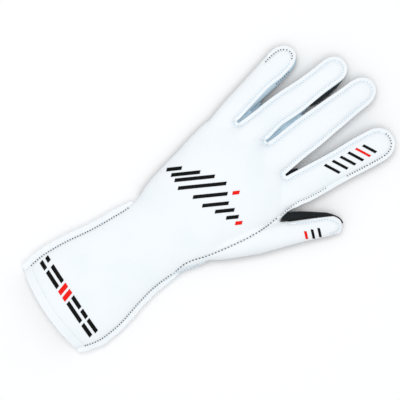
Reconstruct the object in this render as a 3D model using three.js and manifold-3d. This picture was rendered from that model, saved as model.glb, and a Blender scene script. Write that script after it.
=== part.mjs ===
import * as THREE from 'three';
import { mergeVertices } from 'three/addons/utils/BufferGeometryUtils.js';
import Module from 'manifold-3d';

// A long-cuff karting glove for the left hand, lying on its palm with the back of the hand up.
// Fingers point along +Y, the thumb is on the +X side, and +Z is up. All sizes are millimetres.

// Overall sizes
const cuffLength = 95;
const palmLength = 105;
const hemWidth = 74;
const wristWidth = 61;
const knuckleWidth = 96;
const cuffHeight = 19;
const wristHeight = 19.5;
const palmHeight = 24.5;
const fingerHeight = 15.5;
const thumbHeight = 17;

// Cloth, seams and clearances
const wall = 1.5;
const clearance = 0.3;
const flatDepth = 0.25;
const hemBow = 3.5;
const knuckleBow = 13;
const cuffSeamHeight = 8;
const handSeamHeight = 5.5;
const fourchetteTop = 10.5;
const flangeWidth = 3.4;
const flangeLayer = 1.2;
const flangeFade = 12;
const hemFlangeShare = 0.45;
const pinkyFlangeShare = 0.85;
const elasticLength = 14;
const gatherCount = 5;
const gatherShare = 0.64;
const gatherDepth = 0.5;

// Grips on the palm side. Their edges wrap a little way up the rounded sides of the palm.
const padThickness = 0.9;
const gripWrap = 1.3;
const ribBase = 0.4;
const ribPitch = 1.6;
const ribWidth = 0.8;
const tipPadLength = 26;
const tipPadWidth = 15;
const tipPadMargin = 4.5;
const tipPadGroove = 0.6;
const ladderLength = 22;
const ladderWidth = 11;
const ladderGap = 4;
const capsuleLength = 12.5;
const capsuleWidth = 5;
const capsulePitch = 6.4;
const capsuleStep = 0.9;

// Places of seams and strips, as shares: in the cuff of its length, in the hand of the palm's, and
// for the elastic of the wrist's width.
const seamSlopeFrom = 0.97;
const seamSlopeTo = 0.15;
const palmStart = 0.05;
const elasticFrom = -0.14;
const flangeFrom = 0.02;
const flangeTo = 0.99;

// The palm is carried by its grips, and the cuff lies on the surface itself.
const palmRest = padThickness + clearance;
const cuffRest = 0;

// Body sections from hem to knuckles. In the cuff, along is a share of the cuff length and the two
// sides are shares of the hem width; at the wrist they are shares of the wrist width; in the hand,
// along is a share of the palm length and the sides are shares of the knuckle width.
// The top is a share of the height of its zone, and bow one of the hem's or the knuckles' arch.
const bodySections = [
  { zone: 'cuff', along: 0.0, pinkySide: 0.462, thumbSide: 0.462, top: 0.86, bow: -1 },
  { zone: 'cuff', along: 0.16, pinkySide: 0.497, thumbSide: 0.527, top: 0.95, bow: -0.7 },
  { zone: 'cuff', along: 0.37, pinkySide: 0.487, thumbSide: 0.513, top: 1.0, bow: -0.3 },
  { zone: 'cuff', along: 0.58, pinkySide: 0.448, thumbSide: 0.446, top: 1.0, bow: -0.1 },
  { zone: 'cuff', along: 0.76, pinkySide: 0.428, thumbSide: 0.398, top: 0.98, bow: 0 },
  { zone: 'wrist', along: 0.0, pinkySide: 0.515, thumbSide: 0.475, top: 1.0, bow: 0 },
  { zone: 'hand', along: 0.13, pinkySide: 0.378, thumbSide: 0.335, top: 0.88, bow: 0 },
  { zone: 'hand', along: 0.28, pinkySide: 0.425, thumbSide: 0.372, top: 0.98, bow: 0.1 },
  { zone: 'hand', along: 0.46, pinkySide: 0.468, thumbSide: 0.39, top: 1.0, bow: 0.35 },
  { zone: 'hand', along: 0.62, pinkySide: 0.506, thumbSide: 0.402, top: 0.94, bow: 0.65 },
  { zone: 'hand', along: 0.74, pinkySide: 0.525, thumbSide: 0.4, top: 0.83, bow: 0.9 },
  { zone: 'hand', along: 0.82, pinkySide: 0.49, thumbSide: 0.37, top: 0.68, bow: 1 },
  { zone: 'hand', along: 0.86, pinkySide: 0.44, thumbSide: 0.32, top: 0.48, bow: 1 },
];

// Fingers. rootX is a share of the knuckle width, rootY and length are shares of the palm length,
// lean is in degrees towards the thumb, and width is in millimetres.
const fingers = [
  { name: 'pinky', rootX: -0.429, rootY: 0.66, length: 0.865, lean: -11.3, width: 21.5 },
  { name: 'ring', rootX: -0.257, rootY: 0.72, length: 1.035, lean: -3.8, width: 23.0 },
  { name: 'middle', rootX: 0.01, rootY: 0.7, length: 1.155, lean: -3.3, width: 26.0 },
  { name: 'index', rootX: 0.247, rootY: 0.68, length: 1.067, lean: 5.2, width: 24.8 },
];
const thumb = { name: 'thumb', rootX: 0.237, rootY: 0.13, length: 1.072, lean: 22.6, width: 23.5 };

// Width and height along a finger, as shares of the finger's own.
const fingerShape = [
  { along: 0.0, width: 0.6, height: 1.0 },
  { along: 0.14, width: 0.86, height: 1.2 },
  { along: 0.26, width: 0.98, height: 1.18 },
  { along: 0.38, width: 0.99, height: 1.07 },
  { along: 0.55, width: 0.96, height: 1.0 },
  { along: 0.82, width: 0.98, height: 0.97 },
  { along: 1.0, width: 0.92, height: 0.9 },
];
const pinkyShape = [
  { along: 0.0, width: 0.5, height: 0.8 },
  { along: 0.15, width: 0.7, height: 1.0 },
  { along: 0.28, width: 0.81, height: 1.1 },
  { along: 0.45, width: 0.84, height: 1.0 },
  { along: 0.68, width: 0.93, height: 0.95 },
  { along: 0.84, width: 1.04, height: 0.94 },
  { along: 1.0, width: 0.98, height: 0.86 },
];
const indexShape = [
  { along: 0.0, width: 0.5, height: 0.8 },
  { along: 0.15, width: 0.8, height: 1.06 },
  { along: 0.28, width: 0.96, height: 1.12 },
  { along: 0.4, width: 0.99, height: 1.04 },
  { along: 0.58, width: 0.95, height: 1.0 },
  { along: 0.82, width: 0.98, height: 0.97 },
  { along: 1.0, width: 0.92, height: 0.9 },
];
const thumbShape = [
  { along: 0.0, width: 0.45, height: 0.9 },
  { along: 0.2, width: 0.78, height: 1.12 },
  { along: 0.4, width: 0.93, height: 1.14 },
  { along: 0.62, width: 0.97, height: 1.04 },
  { along: 0.82, width: 0.94, height: 0.92 },
  { along: 1.0, width: 0.82, height: 0.84 },
];
const shapes = { pinky: pinkyShape, index: indexShape, thumb: thumbShape };

// The thumb's seam against the back: from the wrist along the ball of the thumb to its crotch, and
// then up the gap to the index finger. Shares of the knuckle width and the palm length.
const thumbSeam = [
  { across: 0.27, along: 0.03 },
  { across: 0.3, along: 0.17 },
  { across: 0.335, along: 0.3 },
  { across: 0.36, along: 0.43 },
  { across: 0.378, along: 0.58 },
  { across: 0.395, along: 0.74 },
  { across: 0.435, along: 0.86 },
  { across: 0.5, along: 1.05 },
  { across: 0.6, along: 1.3 },
];

// Outline of the gusset on the thumb's inner side: share of the thumb's length, and offset from its
// middle line in half widths. The first and last two corners lie beside the thumb.
const gussetOutline = [
  { share: 0.52, offset: -1.3 },
  { share: 0.62, offset: -0.73 },
  { share: 0.8, offset: -0.56 },
  { share: 0.95, offset: -0.56 },
  { share: 1.02, offset: -0.56 },
  { share: 1.02, offset: -1.3 },
  { share: 0.6, offset: -1.3 },
];

// A fingertip pad is a drop, wider towards the tip by this share. The groove that parts it is a V,
// whose sides and middle lie at these shares of half the pad's length from the pad's middle.
const padTaper = 0.12;
const grooveSides = -0.25;
const grooveApex = 0.2;
const grooveReach = 1.4;
const padCorners = 18;

// Overlays on the palm, as corners in shares of the knuckle width and the palm length.
const palmOverlays = [
  {
    name: 'palm_band_red',
    finish: 'red_grip',
    corners: [
      [0.11, 0.93], [0.11, 1.12], [-0.12, 1.12], [-0.12, 0.985], [-0.19, 0.965], [-0.2, 1.1],
      [-0.36, 1.08], [-0.365, 0.89], [-0.43, 0.87], [-0.45, 0.99], [-0.55, 0.97], [-0.53, 0.84],
    ],
  },
  {
    name: 'palm_field_white',
    finish: 'white_grip',
    corners: [
      [0.18, 1.12], [0.37, 1.12], [0.365, 0.8], [0.34, 0.55], [0.16, 0.5], [0.02, 0.58],
      [0.03, 0.86], [0.155, 0.9],
    ],
  },
  {
    name: 'palm_heel_red',
    finish: 'red_grip',
    corners: [
      [-0.28, 0.83], [-0.46, 0.79], [-0.405, 0.5], [-0.33, 0.28], [-0.2, 0.26], [-0.2, 0.55],
    ],
  },
];

// Overlay on the palm side of the thumb: its half widths at its ribs and at its ball, as shares of
// the thumb's width, and how far back from the tip its ball end is, as a share of the thumb's length.
const thumbOverlay = { ribsHalf: 0.3, ballHalf: 0.19, ballBack: 0.745, endBack: 0.8 };

// Shares of the ladder's length that the smaller fingers have.
const pinkyLadder = 0.62;
const thumbLadder = 0.5;

// The middle of the first capsule, and the capsules from the index finger's side outwards.
const capsulePlace = { across: -0.05, along: 0.79 };
const capsules = [
  { name: 'capsule_inner', finish: 'white_grip', step: 0 },
  { name: 'capsule_middle', finish: 'red_grip', step: 1 },
  { name: 'capsule_outer', finish: 'white_grip', step: 2 },
];

// Numbers of facets: the outer surface is finer than the hollow inside it.
const outerFacets = { body: 28, finger: 16, tip: 4, straight: 5 };
const innerFacets = { body: 18, finger: 10, tip: 3, straight: 4 };

// Colours and finishes
const finishes = {
  white_cloth: { color: '#f3f8fb', roughness: 0.8, metalness: 0 },
  grey_cloth: { color: '#dfe8ee', roughness: 0.85, metalness: 0 },
  slate_suede: { color: '#414b52', roughness: 0.9, metalness: 0 },
  black_cloth: { color: '#16191b', roughness: 0.85, metalness: 0 },
  black_grip: { color: '#1a1c1c', roughness: 0.55, metalness: 0 },
  red_grip: { color: '#e3321d', roughness: 0.45, metalness: 0 },
  white_grip: { color: '#f2f5f7', roughness: 0.5, metalness: 0 },
};

const wasm = await Module();
wasm.setup();

// Turns a closed geometry into a solid for joins and cuts.
function solid(geometry) {
  const bare = geometry.clone();
  bare.deleteAttribute('normal');
  bare.deleteAttribute('uv');
  const merged = mergeVertices(bare, 1e-4);
  return new wasm.Manifold(new wasm.Mesh({
    numProp: 3,
    vertProperties: merged.attributes.position.array,
    triVerts: new Uint32Array(merged.index.array),
  }));
}

// Turns a solid back into a geometry.
function geometryOf(body) {
  const mesh = body.getMesh();
  const geometry = new THREE.BufferGeometry();
  geometry.setAttribute('position', new THREE.BufferAttribute(new Float32Array(mesh.vertProperties), 3));
  geometry.setIndex(new THREE.BufferAttribute(new Uint32Array(mesh.triVerts), 1));
  geometry.computeVertexNormals();
  return geometry;
}

function joined(bodies) {
  return bodies.reduce((whole, body) => whole.add(body));
}

// Keeps the largest loose piece of a cut, so that slivers left by it are dropped.
function mainPiece(body) {
  const pieces = body.decompose();
  return pieces.reduce((best, piece) => (piece.volume() > best.volume() ? piece : best));
}

// A closed surface through rings of equal count, with a fan over each end.
function loft(rings) {
  const count = rings[0].length;
  const points = rings.flat();
  const faces = [];
  for (let row = 0; row + 1 < rings.length; row += 1) {
    for (let i = 0; i < count; i += 1) {
      const a = row * count + i;
      const b = row * count + ((i + 1) % count);
      faces.push(a, b + count, b, a, a + count, b + count);
    }
  }
  const middle = (ring) => ring.reduce((sum, p) => sum.add(p), new THREE.Vector3()).divideScalar(count);
  const first = points.length;
  points.push(middle(rings[0]), middle(rings[rings.length - 1]));
  const last = (rings.length - 1) * count;
  for (let i = 0; i < count; i += 1) {
    const next = (i + 1) % count;
    faces.push(first, i, next);
    faces.push(first + 1, last + next, last + i);
  }
  const geometry = new THREE.BufferGeometry().setFromPoints(points);
  geometry.setIndex(faces);
  return geometry;
}

// One cross-section: a rounded outline that is domed above its side level and flat below it.
// The inset moves it inwards by a wall, or outwards where it is negative.
function section({ centre, across, left, right, top, rest, level, sides, inset, bow }) {
  const ring = [];
  const power = (value, exponent) => Math.sign(value) * Math.abs(value) ** exponent;
  const topRoundness = 2 / 2.35;
  const bottomRoundness = 2 / 4.2;
  for (let i = 0; i < sides; i += 1) {
    const angle = (2 * Math.PI * i) / sides;
    const above = Math.sin(angle) >= 0;
    const roundness = above ? topRoundness : bottomRoundness;
    const half = (Math.cos(angle) >= 0 ? right : left) - inset;
    const rise = above ? top - inset - level : level - rest - inset + flatDepth;
    const sideways = half * power(Math.cos(angle), roundness);
    const z = level + rise * power(Math.sin(angle), roundness);
    const share = sideways / Math.max(left, right);
    ring.push(new THREE.Vector3(
      centre.x + across.x * sideways,
      centre.y + across.y * sideways + bow * (1 - share * share),
      Math.max(z, rest + inset),
    ));
  }
  return ring;
}

// Reads a column of a table at a share along it, on a smooth curve through its rows.
function readTable(rows, along, column) {
  const last = rows.length - 1;
  let row = 0;
  while (row < last - 1 && rows[row + 1].along < along) {
    row += 1;
  }
  const at = (index) => rows[Math.min(Math.max(index, 0), last)];
  const slope = (index) => {
    const before = at(index - 1);
    const after = at(index + 1);
    return (after[column] - before[column]) / (after.along - before.along);
  };
  const from = at(row);
  const to = at(row + 1);
  const span = to.along - from.along;
  const t = Math.min(Math.max((along - from.along) / span, 0), 1);
  const ease = t * t * (3 - 2 * t);
  const pull = t * (1 - t) ** 2 * slope(row) - t * t * (1 - t) * slope(row + 1);
  return from[column] + ease * (to[column] - from[column]) + span * pull;
}

// Body of the glove: cuff, wrist and palm.
const bodyZones = {
  cuff: { start: 0, length: cuffLength, width: hemWidth, height: cuffHeight, rest: cuffRest, bow: hemBow },
  wrist: {
    start: cuffLength,
    length: 0,
    width: wristWidth,
    height: wristHeight,
    rest: 0.5 * (cuffRest + palmRest),
    bow: 0,
  },
  hand: {
    start: cuffLength,
    length: palmLength,
    width: knuckleWidth,
    height: palmHeight,
    rest: palmRest,
    bow: knuckleBow,
  },
};
const bodyRows = bodySections.map((row) => {
  const zone = bodyZones[row.zone];
  return {
    along: zone.start + row.along * zone.length,
    left: row.pinkySide * zone.width,
    right: row.thumbSide * zone.width,
    top: row.top * zone.height,
    rest: zone.rest,
    bow: row.bow * zone.bow,
  };
});

function bodyRings(inset, facets, overrun) {
  const end = bodyRows[bodyRows.length - 1].along;
  const rings = bodyRows.map((row) => section({
    centre: new THREE.Vector3(0, row.along === end ? end - inset : row.along, 0),
    across: new THREE.Vector3(1, 0, 0),
    left: row.left,
    right: row.right,
    top: row.top,
    rest: row.rest,
    level: cuffSeamHeight,
    sides: facets.body,
    inset,
    bow: row.bow,
  }));
  if (overrun > 0) {
    rings.unshift(rings[0].map((point) => point.clone().setY(point.y - overrun)));
  }
  return rings;
}

// Where a finger or the thumb starts, and the way it points.
function placeOf(finger) {
  const lean = THREE.MathUtils.degToRad(finger.lean);
  const isThumb = finger.name === 'thumb';
  return {
    root: new THREE.Vector3(finger.rootX * knuckleWidth, cuffLength + finger.rootY * palmLength, 0),
    along: new THREE.Vector3(Math.sin(lean), Math.cos(lean), 0),
    across: new THREE.Vector3(Math.cos(lean), -Math.sin(lean), 0),
    length: finger.length * palmLength,
    height: isThumb ? thumbHeight : fingerHeight,
    shape: shapes[finger.name] ?? fingerShape,
  };
}

// Rings of one finger. The last stretch, half a width long, closes in a round tip.
function fingerRings(finger, inset, facets) {
  const place = placeOf(finger);
  const tipLength = 0.5 * finger.width;
  const reach = place.length - inset;
  const straight = reach - tipLength;
  const level = 0.5 * (handSeamHeight + fourchetteTop);
  const rings = [];
  for (let step = 0; step <= facets.straight + facets.tip; step += 1) {
    const tipStep = Math.max(0, step - facets.straight);
    const turn = (0.47 * Math.PI * tipStep) / facets.tip;
    const along = tipStep > 0 ? straight + tipLength * Math.sin(turn) : (straight * step) / facets.straight;
    const close = Math.cos(turn) ** 0.9;
    const share = along / place.length;
    const width = finger.width * readTable(place.shape, share, 'width');
    const height = place.height * readTable(place.shape, share, 'height');
    const half = Math.max(0.5 * width * close, inset + 0.6);
    const tipTop = level + (height - level) * (0.3 + 0.7 * close);
    rings.push(section({
      centre: place.root.clone().addScaledVector(place.along, along),
      across: place.across,
      left: half,
      right: half,
      top: Math.max(tipTop, level + inset + 0.6),
      rest: palmRest + (1 - close) * 0.35 * (level - palmRest),
      level,
      sides: facets.finger,
      inset,
      bow: 0,
    }));
  }
  return rings;
}

// Upright prism over an outline of [x, y] corners.
function prism(outline, bottom, top) {
  const shape = new THREE.Shape(outline.map(([x, y]) => new THREE.Vector2(x, y)));
  const geometry = new THREE.ExtrudeGeometry(shape, { depth: top - bottom, bevelEnabled: false });
  return solid(geometry.translate(0, 0, bottom));
}

// Heights and widths well outside the glove, for cutters that pass right through it.
const below = -palmHeight;
const above = 2 * palmHeight;
const beyond = 2 * knuckleWidth;
const tipsY = cuffLength + 2.2 * palmLength;

// Upright block between two widths and two lengths.
function block(fromX, toX, fromY, toY, top = above) {
  return prism([[fromX, fromY], [toX, fromY], [toX, toY], [fromX, toY]], below, top);
}

// A place in the hand from shares of the knuckle width and the palm length.
function handPoint({ across, along }) {
  return [across * knuckleWidth, cuffLength + along * palmLength];
}

// A point beside a finger's middle line: share of its length, and offset in half widths.
function besideFinger(finger, share, offset) {
  const place = placeOf(finger);
  const point = place.root.clone().addScaledVector(place.along, share * place.length);
  point.addScaledVector(place.across, 0.5 * offset * finger.width);
  return [point.x, point.y];
}

// A point on a finger: distance back from the tip along it, and distance across it.
function fromTip(finger, back, offset) {
  const place = placeOf(finger);
  const point = place.root.clone().addScaledVector(place.along, place.length - back);
  point.addScaledVector(place.across, offset);
  return [point.x, point.y];
}

// Flat lips along the cuff's two side seams, where the panels' allowances are sewn together.
function flangePlate() {
  const hem = flangeFrom * cuffLength;
  const end = flangeTo * cuffLength;
  const steps = 9;
  const thumbEdge = [];
  const pinkyEdge = [];
  for (let i = 0; i <= steps; i += 1) {
    const along = hem + ((end - hem) * i) / steps;
    const endFade = Math.min(1, (end - along) / flangeFade);
    const hemFade = Math.min(1, hemFlangeShare + (along - hem) / flangeFade);
    const lip = flangeWidth * endFade * hemFade;
    thumbEdge.push([readTable(bodyRows, along, 'right') + lip, along]);
    pinkyEdge.unshift([-readTable(bodyRows, along, 'left') - pinkyFlangeShare * lip, along]);
  }
  return prism([...thumbEdge, ...pinkyEdge], cuffSeamHeight - flangeLayer, cuffSeamHeight + flangeLayer);
}

// The whole glove, grown or shrunk by an inset, as one solid.
function wholeGlove(inset, facets, overrun = 0) {
  const bodies = [solid(loft(bodyRings(inset, facets, overrun)))];
  for (const finger of [...fingers, thumb]) {
    bodies.push(solid(loft(fingerRings(finger, inset, facets))));
  }
  return joined(bodies);
}

const outside = wholeGlove(0, outerFacets).add(flangePlate());
const hollow = wholeGlove(wall, innerFacets, 3 * hemBow);
const shell = outside.subtract(hollow);

// Everything below the seam that joins back and palm. The seam comes down from the cuff's lips
// to the hand in a slope at the wrist.
function belowSeam(lift) {
  const slopeStart = seamSlopeFrom * cuffLength;
  const slopeEnd = cuffLength + seamSlopeTo * palmLength;
  const profile = new THREE.Shape([
    new THREE.Vector2(-beyond, below),
    new THREE.Vector2(tipsY, below),
    new THREE.Vector2(tipsY, handSeamHeight + lift),
    new THREE.Vector2(slopeEnd, handSeamHeight + lift),
    new THREE.Vector2(slopeStart, cuffSeamHeight + lift),
    new THREE.Vector2(-beyond, cuffSeamHeight + lift),
  ]);
  const geometry = new THREE.ExtrudeGeometry(profile, { depth: 2 * beyond, bevelEnabled: false });
  geometry.rotateX(Math.PI / 2).rotateZ(Math.PI / 2).translate(-beyond, 0, 0);
  return solid(geometry);
}

const upper = belowSeam(0.5 * clearance);
const lower = belowSeam(-0.5 * clearance);

// Outline in which a fourchette runs: from one finger's tip down to the crotch and up to the next.
function fourchetteZone(finger, next) {
  return [
    besideFinger(finger, 0.2, 0.1),
    besideFinger(next, 0.2, -0.1),
    besideFinger(next, 1.1, -0.1),
    besideFinger(finger, 1.1, 0.1),
  ];
}

// Everything on the thumb's side of its seam.
function thumbZone(shift) {
  const seam = thumbSeam.map(handPoint).map(([x, y]) => [x + shift, y]);
  const [, startY] = seam[0];
  const [, endY] = seam[seam.length - 1];
  return prism([...seam, [beyond, endY], [beyond, startY]].reverse(), below, above);
}

const thumbSide = thumbZone(0.5 * clearance);
const handSide = thumbZone(-0.5 * clearance);

// The gusset takes the thumb's inner side, above its palm seam. A clearance parts it from the back.
function gussetZone(grow) {
  const outline = gussetOutline.map(({ share, offset }) => {
    const beside = offset < -1;
    return besideFinger(thumb, share, beside ? offset : offset + (2 * grow) / thumb.width);
  });
  return prism(outline, below, above);
}

const hand = shell.subtract(handSide);
const thumbShell = shell.intersect(thumbSide);

// The same four corners, each drawn in by a few clearances towards their middle.
function drawnIn(outline) {
  const middleX = outline.reduce((sum, [x]) => sum + x, 0) / outline.length;
  const middleY = outline.reduce((sum, [, y]) => sum + y, 0) / outline.length;
  return outline.map(([x, y]) => {
    const distance = Math.hypot(middleX - x, middleY - y);
    const step = (3 * clearance) / distance;
    return [x + step * (middleX - x), y + step * (middleY - y)];
  });
}

// Named solids of the glove
const parts = [];
function addPart(name, body, finish) {
  parts.push({ name, body, finish });
}

// Back of the hand: above the seam, and above the fourchettes between the fingers.
const zones = [];
for (let i = 0; i + 1 < fingers.length; i += 1) {
  zones.push({
    name: `fourchette_${fingers[i].name}_${fingers[i + 1].name}`,
    outline: fourchetteZone(fingers[i], fingers[i + 1]),
  });
}
let back = hand.subtract(upper);
for (const zone of zones) {
  back = back.subtract(prism(zone.outline, below, fourchetteTop + 0.5 * clearance));
}
addPart('back_panel', mainPiece(back), 'white_cloth');

for (const zone of zones) {
  const bottom = handSeamHeight + 0.5 * clearance;
  const strip = prism(drawnIn(zone.outline), bottom, fourchetteTop - 0.5 * clearance);
  addPart(zone.name, mainPiece(hand.intersect(strip)), 'grey_cloth');
}

// Palm, cuff and elastic lie below the seam, one after another.
const lowerHand = hand.intersect(lower);
const palmEdge = cuffLength + palmStart * palmLength;
const elasticX = elasticFrom * wristWidth;
const elasticSlot = block(elasticX, beyond, palmEdge - 0.5 * elasticLength, palmEdge + 0.5 * elasticLength);
const cuffZone = block(-beyond, beyond, -beyond, palmEdge - 0.5 * clearance);
const palmZone = block(-beyond, beyond, palmEdge + 0.5 * clearance, tipsY);
addPart('palm_panel', mainPiece(lowerHand.intersect(palmZone).subtract(elasticSlot)), 'slate_suede');
addPart('cuff_palm', mainPiece(lowerHand.intersect(cuffZone).subtract(elasticSlot)), 'white_cloth');

// The gathered elastic: a strip across the thumb half of the wrist, drawn up into ruffles.
function elasticBand() {
  const from = palmEdge - 0.5 * elasticLength + clearance;
  const to = palmEdge + 0.5 * elasticLength - clearance;
  const strip = block(elasticX + clearance, beyond, from, to);
  const pitch = (to - from) / gatherCount;
  const gathers = [];
  for (let i = 0; i < gatherCount; i += 1) {
    const start = from + (i + 0.5 - 0.5 * gatherShare) * pitch;
    gathers.push(block(elasticX + clearance, beyond, start, start + gatherShare * pitch));
  }
  const ridged = wholeGlove(0, outerFacets).intersect(joined(gathers));
  const smooth = wholeGlove(gatherDepth, outerFacets).intersect(strip);
  return mainPiece(ridged.add(smooth).subtract(hollow).intersect(lower).subtract(handSide));
}
addPart('wrist_elastic', elasticBand(), 'white_cloth');

// Thumb: back, black gusset on its inner side, and palm side.
const thumbUpper = thumbShell.subtract(upper);
addPart('thumb_back', mainPiece(thumbUpper.subtract(gussetZone(0.5 * clearance))), 'white_cloth');
addPart('thumb_gusset', mainPiece(thumbUpper.intersect(gussetZone(-0.5 * clearance))), 'black_cloth');
addPart('thumb_palm', mainPiece(thumbShell.intersect(lower)), 'slate_suede');

// Grips lie on the palm side, a clearance outside the cloth and as thick as they are named.
const gripCeiling = block(-beyond, beyond, -beyond, tipsY, palmRest + gripWrap);
const clothFace = wholeGlove(-clearance, outerFacets).add(outside);
const gripSkin = wholeGlove(-palmRest, outerFacets).subtract(clothFace).intersect(gripCeiling);

function gripOver(outline) {
  return gripSkin.intersect(prism(outline, below, above));
}

// How much smaller the grips of a slim finger are.
function gripScale(finger) {
  return Math.min(1, finger.width / fingers[1].width);
}

// Fingertip pad: a drop, wider towards the tip, parted by a groove bent like a V.
function tipPads(finger, outerFinish, innerFinish) {
  const halfLength = 0.5 * tipPadLength * gripScale(finger);
  const halfWidth = 0.5 * tipPadWidth * gripScale(finger);
  const middleBack = tipPadMargin + halfLength;
  const outline = [];
  for (let i = 0; i < padCorners; i += 1) {
    const angle = (2 * Math.PI * i) / padCorners;
    const taper = 1 + padTaper * Math.cos(angle);
    const back = middleBack - halfLength * Math.cos(angle);
    outline.push(fromTip(finger, back, halfWidth * taper * Math.sin(angle)));
  }
  const sides = middleBack + grooveSides * halfLength;
  const apex = middleBack + grooveApex * halfLength;
  const wide = grooveReach * halfWidth;
  const vee = (shift) => [
    fromTip(finger, sides + shift, -wide),
    fromTip(finger, apex + shift, 0),
    fromTip(finger, sides + shift, wide),
  ];
  const closedAt = (back) => [fromTip(finger, back, wide), fromTip(finger, back, -wide)];
  const tip = prism([...vee(0), ...closedAt(-finger.width)], below, above);
  const root = prism([...vee(tipPadGroove), ...closedAt(middleBack + finger.width)], below, above);
  const pad = gripOver(outline);
  addPart(`tip_pad_${finger.name}_outer`, mainPiece(pad.intersect(tip)), outerFinish);
  addPart(`tip_pad_${finger.name}_inner`, mainPiece(pad.intersect(root)), innerFinish);
}

// Ribbed grip: a comb-shaped strip lying flat on the finger, its fine ribs running across it.
function ribbedGrip(finger, length) {
  const start = tipPadMargin + tipPadLength * gripScale(finger) + ladderGap;
  const width = ladderWidth * gripScale(finger);
  const count = Math.floor((length - ribWidth) / ribPitch) + 1;
  const profile = new THREE.Shape();
  profile.moveTo(0, padThickness);
  for (let i = 0; i < count; i += 1) {
    const from = i * ribPitch;
    profile.lineTo(from, 0);
    profile.lineTo(from + ribWidth, 0);
    profile.lineTo(from + ribWidth, padThickness - ribBase);
    if (i + 1 < count) {
      profile.lineTo(from + ribPitch, padThickness - ribBase);
    }
  }
  profile.lineTo((count - 1) * ribPitch + ribWidth, padThickness);
  const geometry = new THREE.ExtrudeGeometry(profile, { depth: width, bevelEnabled: false });
  const place = placeOf(finger);
  const backwards = place.along.clone().negate();
  const up = new THREE.Vector3(0, 0, 1);
  const sideways = new THREE.Vector3().crossVectors(backwards, up);
  const [x, y] = fromTip(finger, start, 0);
  const corner = new THREE.Vector3(x, y, 0).addScaledVector(sideways, -0.5 * width);
  geometry.applyMatrix4(new THREE.Matrix4().makeBasis(backwards, up, sideways).setPosition(corner));
  addPart(`grip_ribs_${finger.name}`, solid(geometry), 'black_grip');
}

const [pinky, ring, middle, index] = fingers;
for (const finger of [pinky, ring, middle]) {
  tipPads(finger, 'white_grip', 'white_grip');
}
for (const finger of [index, thumb]) {
  tipPads(finger, 'black_grip', 'red_grip');
}
ribbedGrip(pinky, pinkyLadder * ladderLength);
ribbedGrip(ring, ladderLength);
ribbedGrip(middle, ladderLength);
ribbedGrip(index, ladderLength);
ribbedGrip(thumb, thumbLadder * ladderLength);

// Overlays on the palm
for (const { name, finish, corners } of palmOverlays) {
  const outline = corners.map(([across, along]) => handPoint({ across, along }));
  addPart(name, mainPiece(gripOver(outline)), finish);
}

// The overlay on the palm side of the thumb starts below its ribs, as far as they are from the pad.
const ribsEnd = tipPadMargin + tipPadLength + ladderGap + thumbLadder * ladderLength;
const ribsHalf = thumbOverlay.ribsHalf * thumb.width;
const ballHalf = thumbOverlay.ballHalf * thumb.width;
const ballBack = thumbOverlay.ballBack * thumb.length * palmLength;
const endBack = thumbOverlay.endBack * thumb.length * palmLength;
const thumbOutline = [
  fromTip(thumb, ribsEnd + ladderGap, -ribsHalf),
  fromTip(thumb, ribsEnd + ladderGap, ribsHalf),
  fromTip(thumb, ballBack, ballHalf),
  fromTip(thumb, endBack, 0),
  fromTip(thumb, ballBack, -ballHalf),
];
const overThumb = gripOver(thumbOutline).intersect(thumbSide);
addPart('thumb_base_white', mainPiece(overThumb), 'white_grip');

// Three capsules side by side under the knuckles.
function roundedBar(centreX, centreY, width, length) {
  const radius = 0.5 * width;
  const reach = 0.5 * length - radius;
  const corners = 5;
  const outline = [];
  for (const end of [0, 1]) {
    for (let i = 0; i <= corners; i += 1) {
      const angle = Math.PI * (end + i / corners);
      const y = (end ? -reach : reach) + radius * Math.sin(angle);
      outline.push([centreX + radius * Math.cos(angle), centreY + y]);
    }
  }
  return outline;
}

const [capsuleX, capsuleY] = handPoint(capsulePlace);
for (const { name, finish, step } of capsules) {
  const x = capsuleX - step * capsulePitch;
  const y = capsuleY - step * capsuleStep;
  const outline = roundedBar(x, y, capsuleWidth, capsuleLength);
  addPart(name, mainPiece(gripOver(outline)), finish);
}

const group = new THREE.Group();
for (const { name, body, finish } of parts) {
  const mesh = new THREE.Mesh(geometryOf(body), new THREE.MeshStandardMaterial(finishes[finish]));
  mesh.name = name;
  group.add(mesh);
}

// The origin is the centre of the glove's footprint, on the surface that it lies on.
const box = new THREE.Box3().setFromObject(group);
const centre = box.getCenter(new THREE.Vector3());
group.position.set(-centre.x, -centre.y, -box.min.z);

export default group;
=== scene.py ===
import math

import bmesh
import bpy
import numpy as np
from mathutils import Matrix, Vector, kdtree, noise
from mathutils.bvhtree import BVHTree


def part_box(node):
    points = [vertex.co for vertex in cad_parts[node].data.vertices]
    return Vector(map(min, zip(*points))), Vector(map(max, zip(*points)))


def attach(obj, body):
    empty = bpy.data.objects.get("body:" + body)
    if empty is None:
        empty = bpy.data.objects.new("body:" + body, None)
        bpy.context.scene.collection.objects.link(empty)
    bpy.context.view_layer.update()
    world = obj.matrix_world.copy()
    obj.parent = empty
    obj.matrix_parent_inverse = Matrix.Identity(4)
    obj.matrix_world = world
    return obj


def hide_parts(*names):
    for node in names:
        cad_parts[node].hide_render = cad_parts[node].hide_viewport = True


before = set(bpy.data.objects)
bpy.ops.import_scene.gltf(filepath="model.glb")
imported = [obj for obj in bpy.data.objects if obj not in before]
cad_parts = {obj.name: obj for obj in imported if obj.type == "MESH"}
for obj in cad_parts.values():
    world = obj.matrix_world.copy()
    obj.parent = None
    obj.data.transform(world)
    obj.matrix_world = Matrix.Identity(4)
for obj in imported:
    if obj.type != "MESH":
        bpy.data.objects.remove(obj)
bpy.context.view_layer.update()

bl_info = {
    "name": "Karting glove",
    "version": (1, 0, 0),
    "blender": (4, 5, 0),
    "location": "View3D > Sidebar > Karting glove",
    "description": "Builds a long-cuff karting glove for the left hand, lying on its palm",
    "category": "Object",
}

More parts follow.
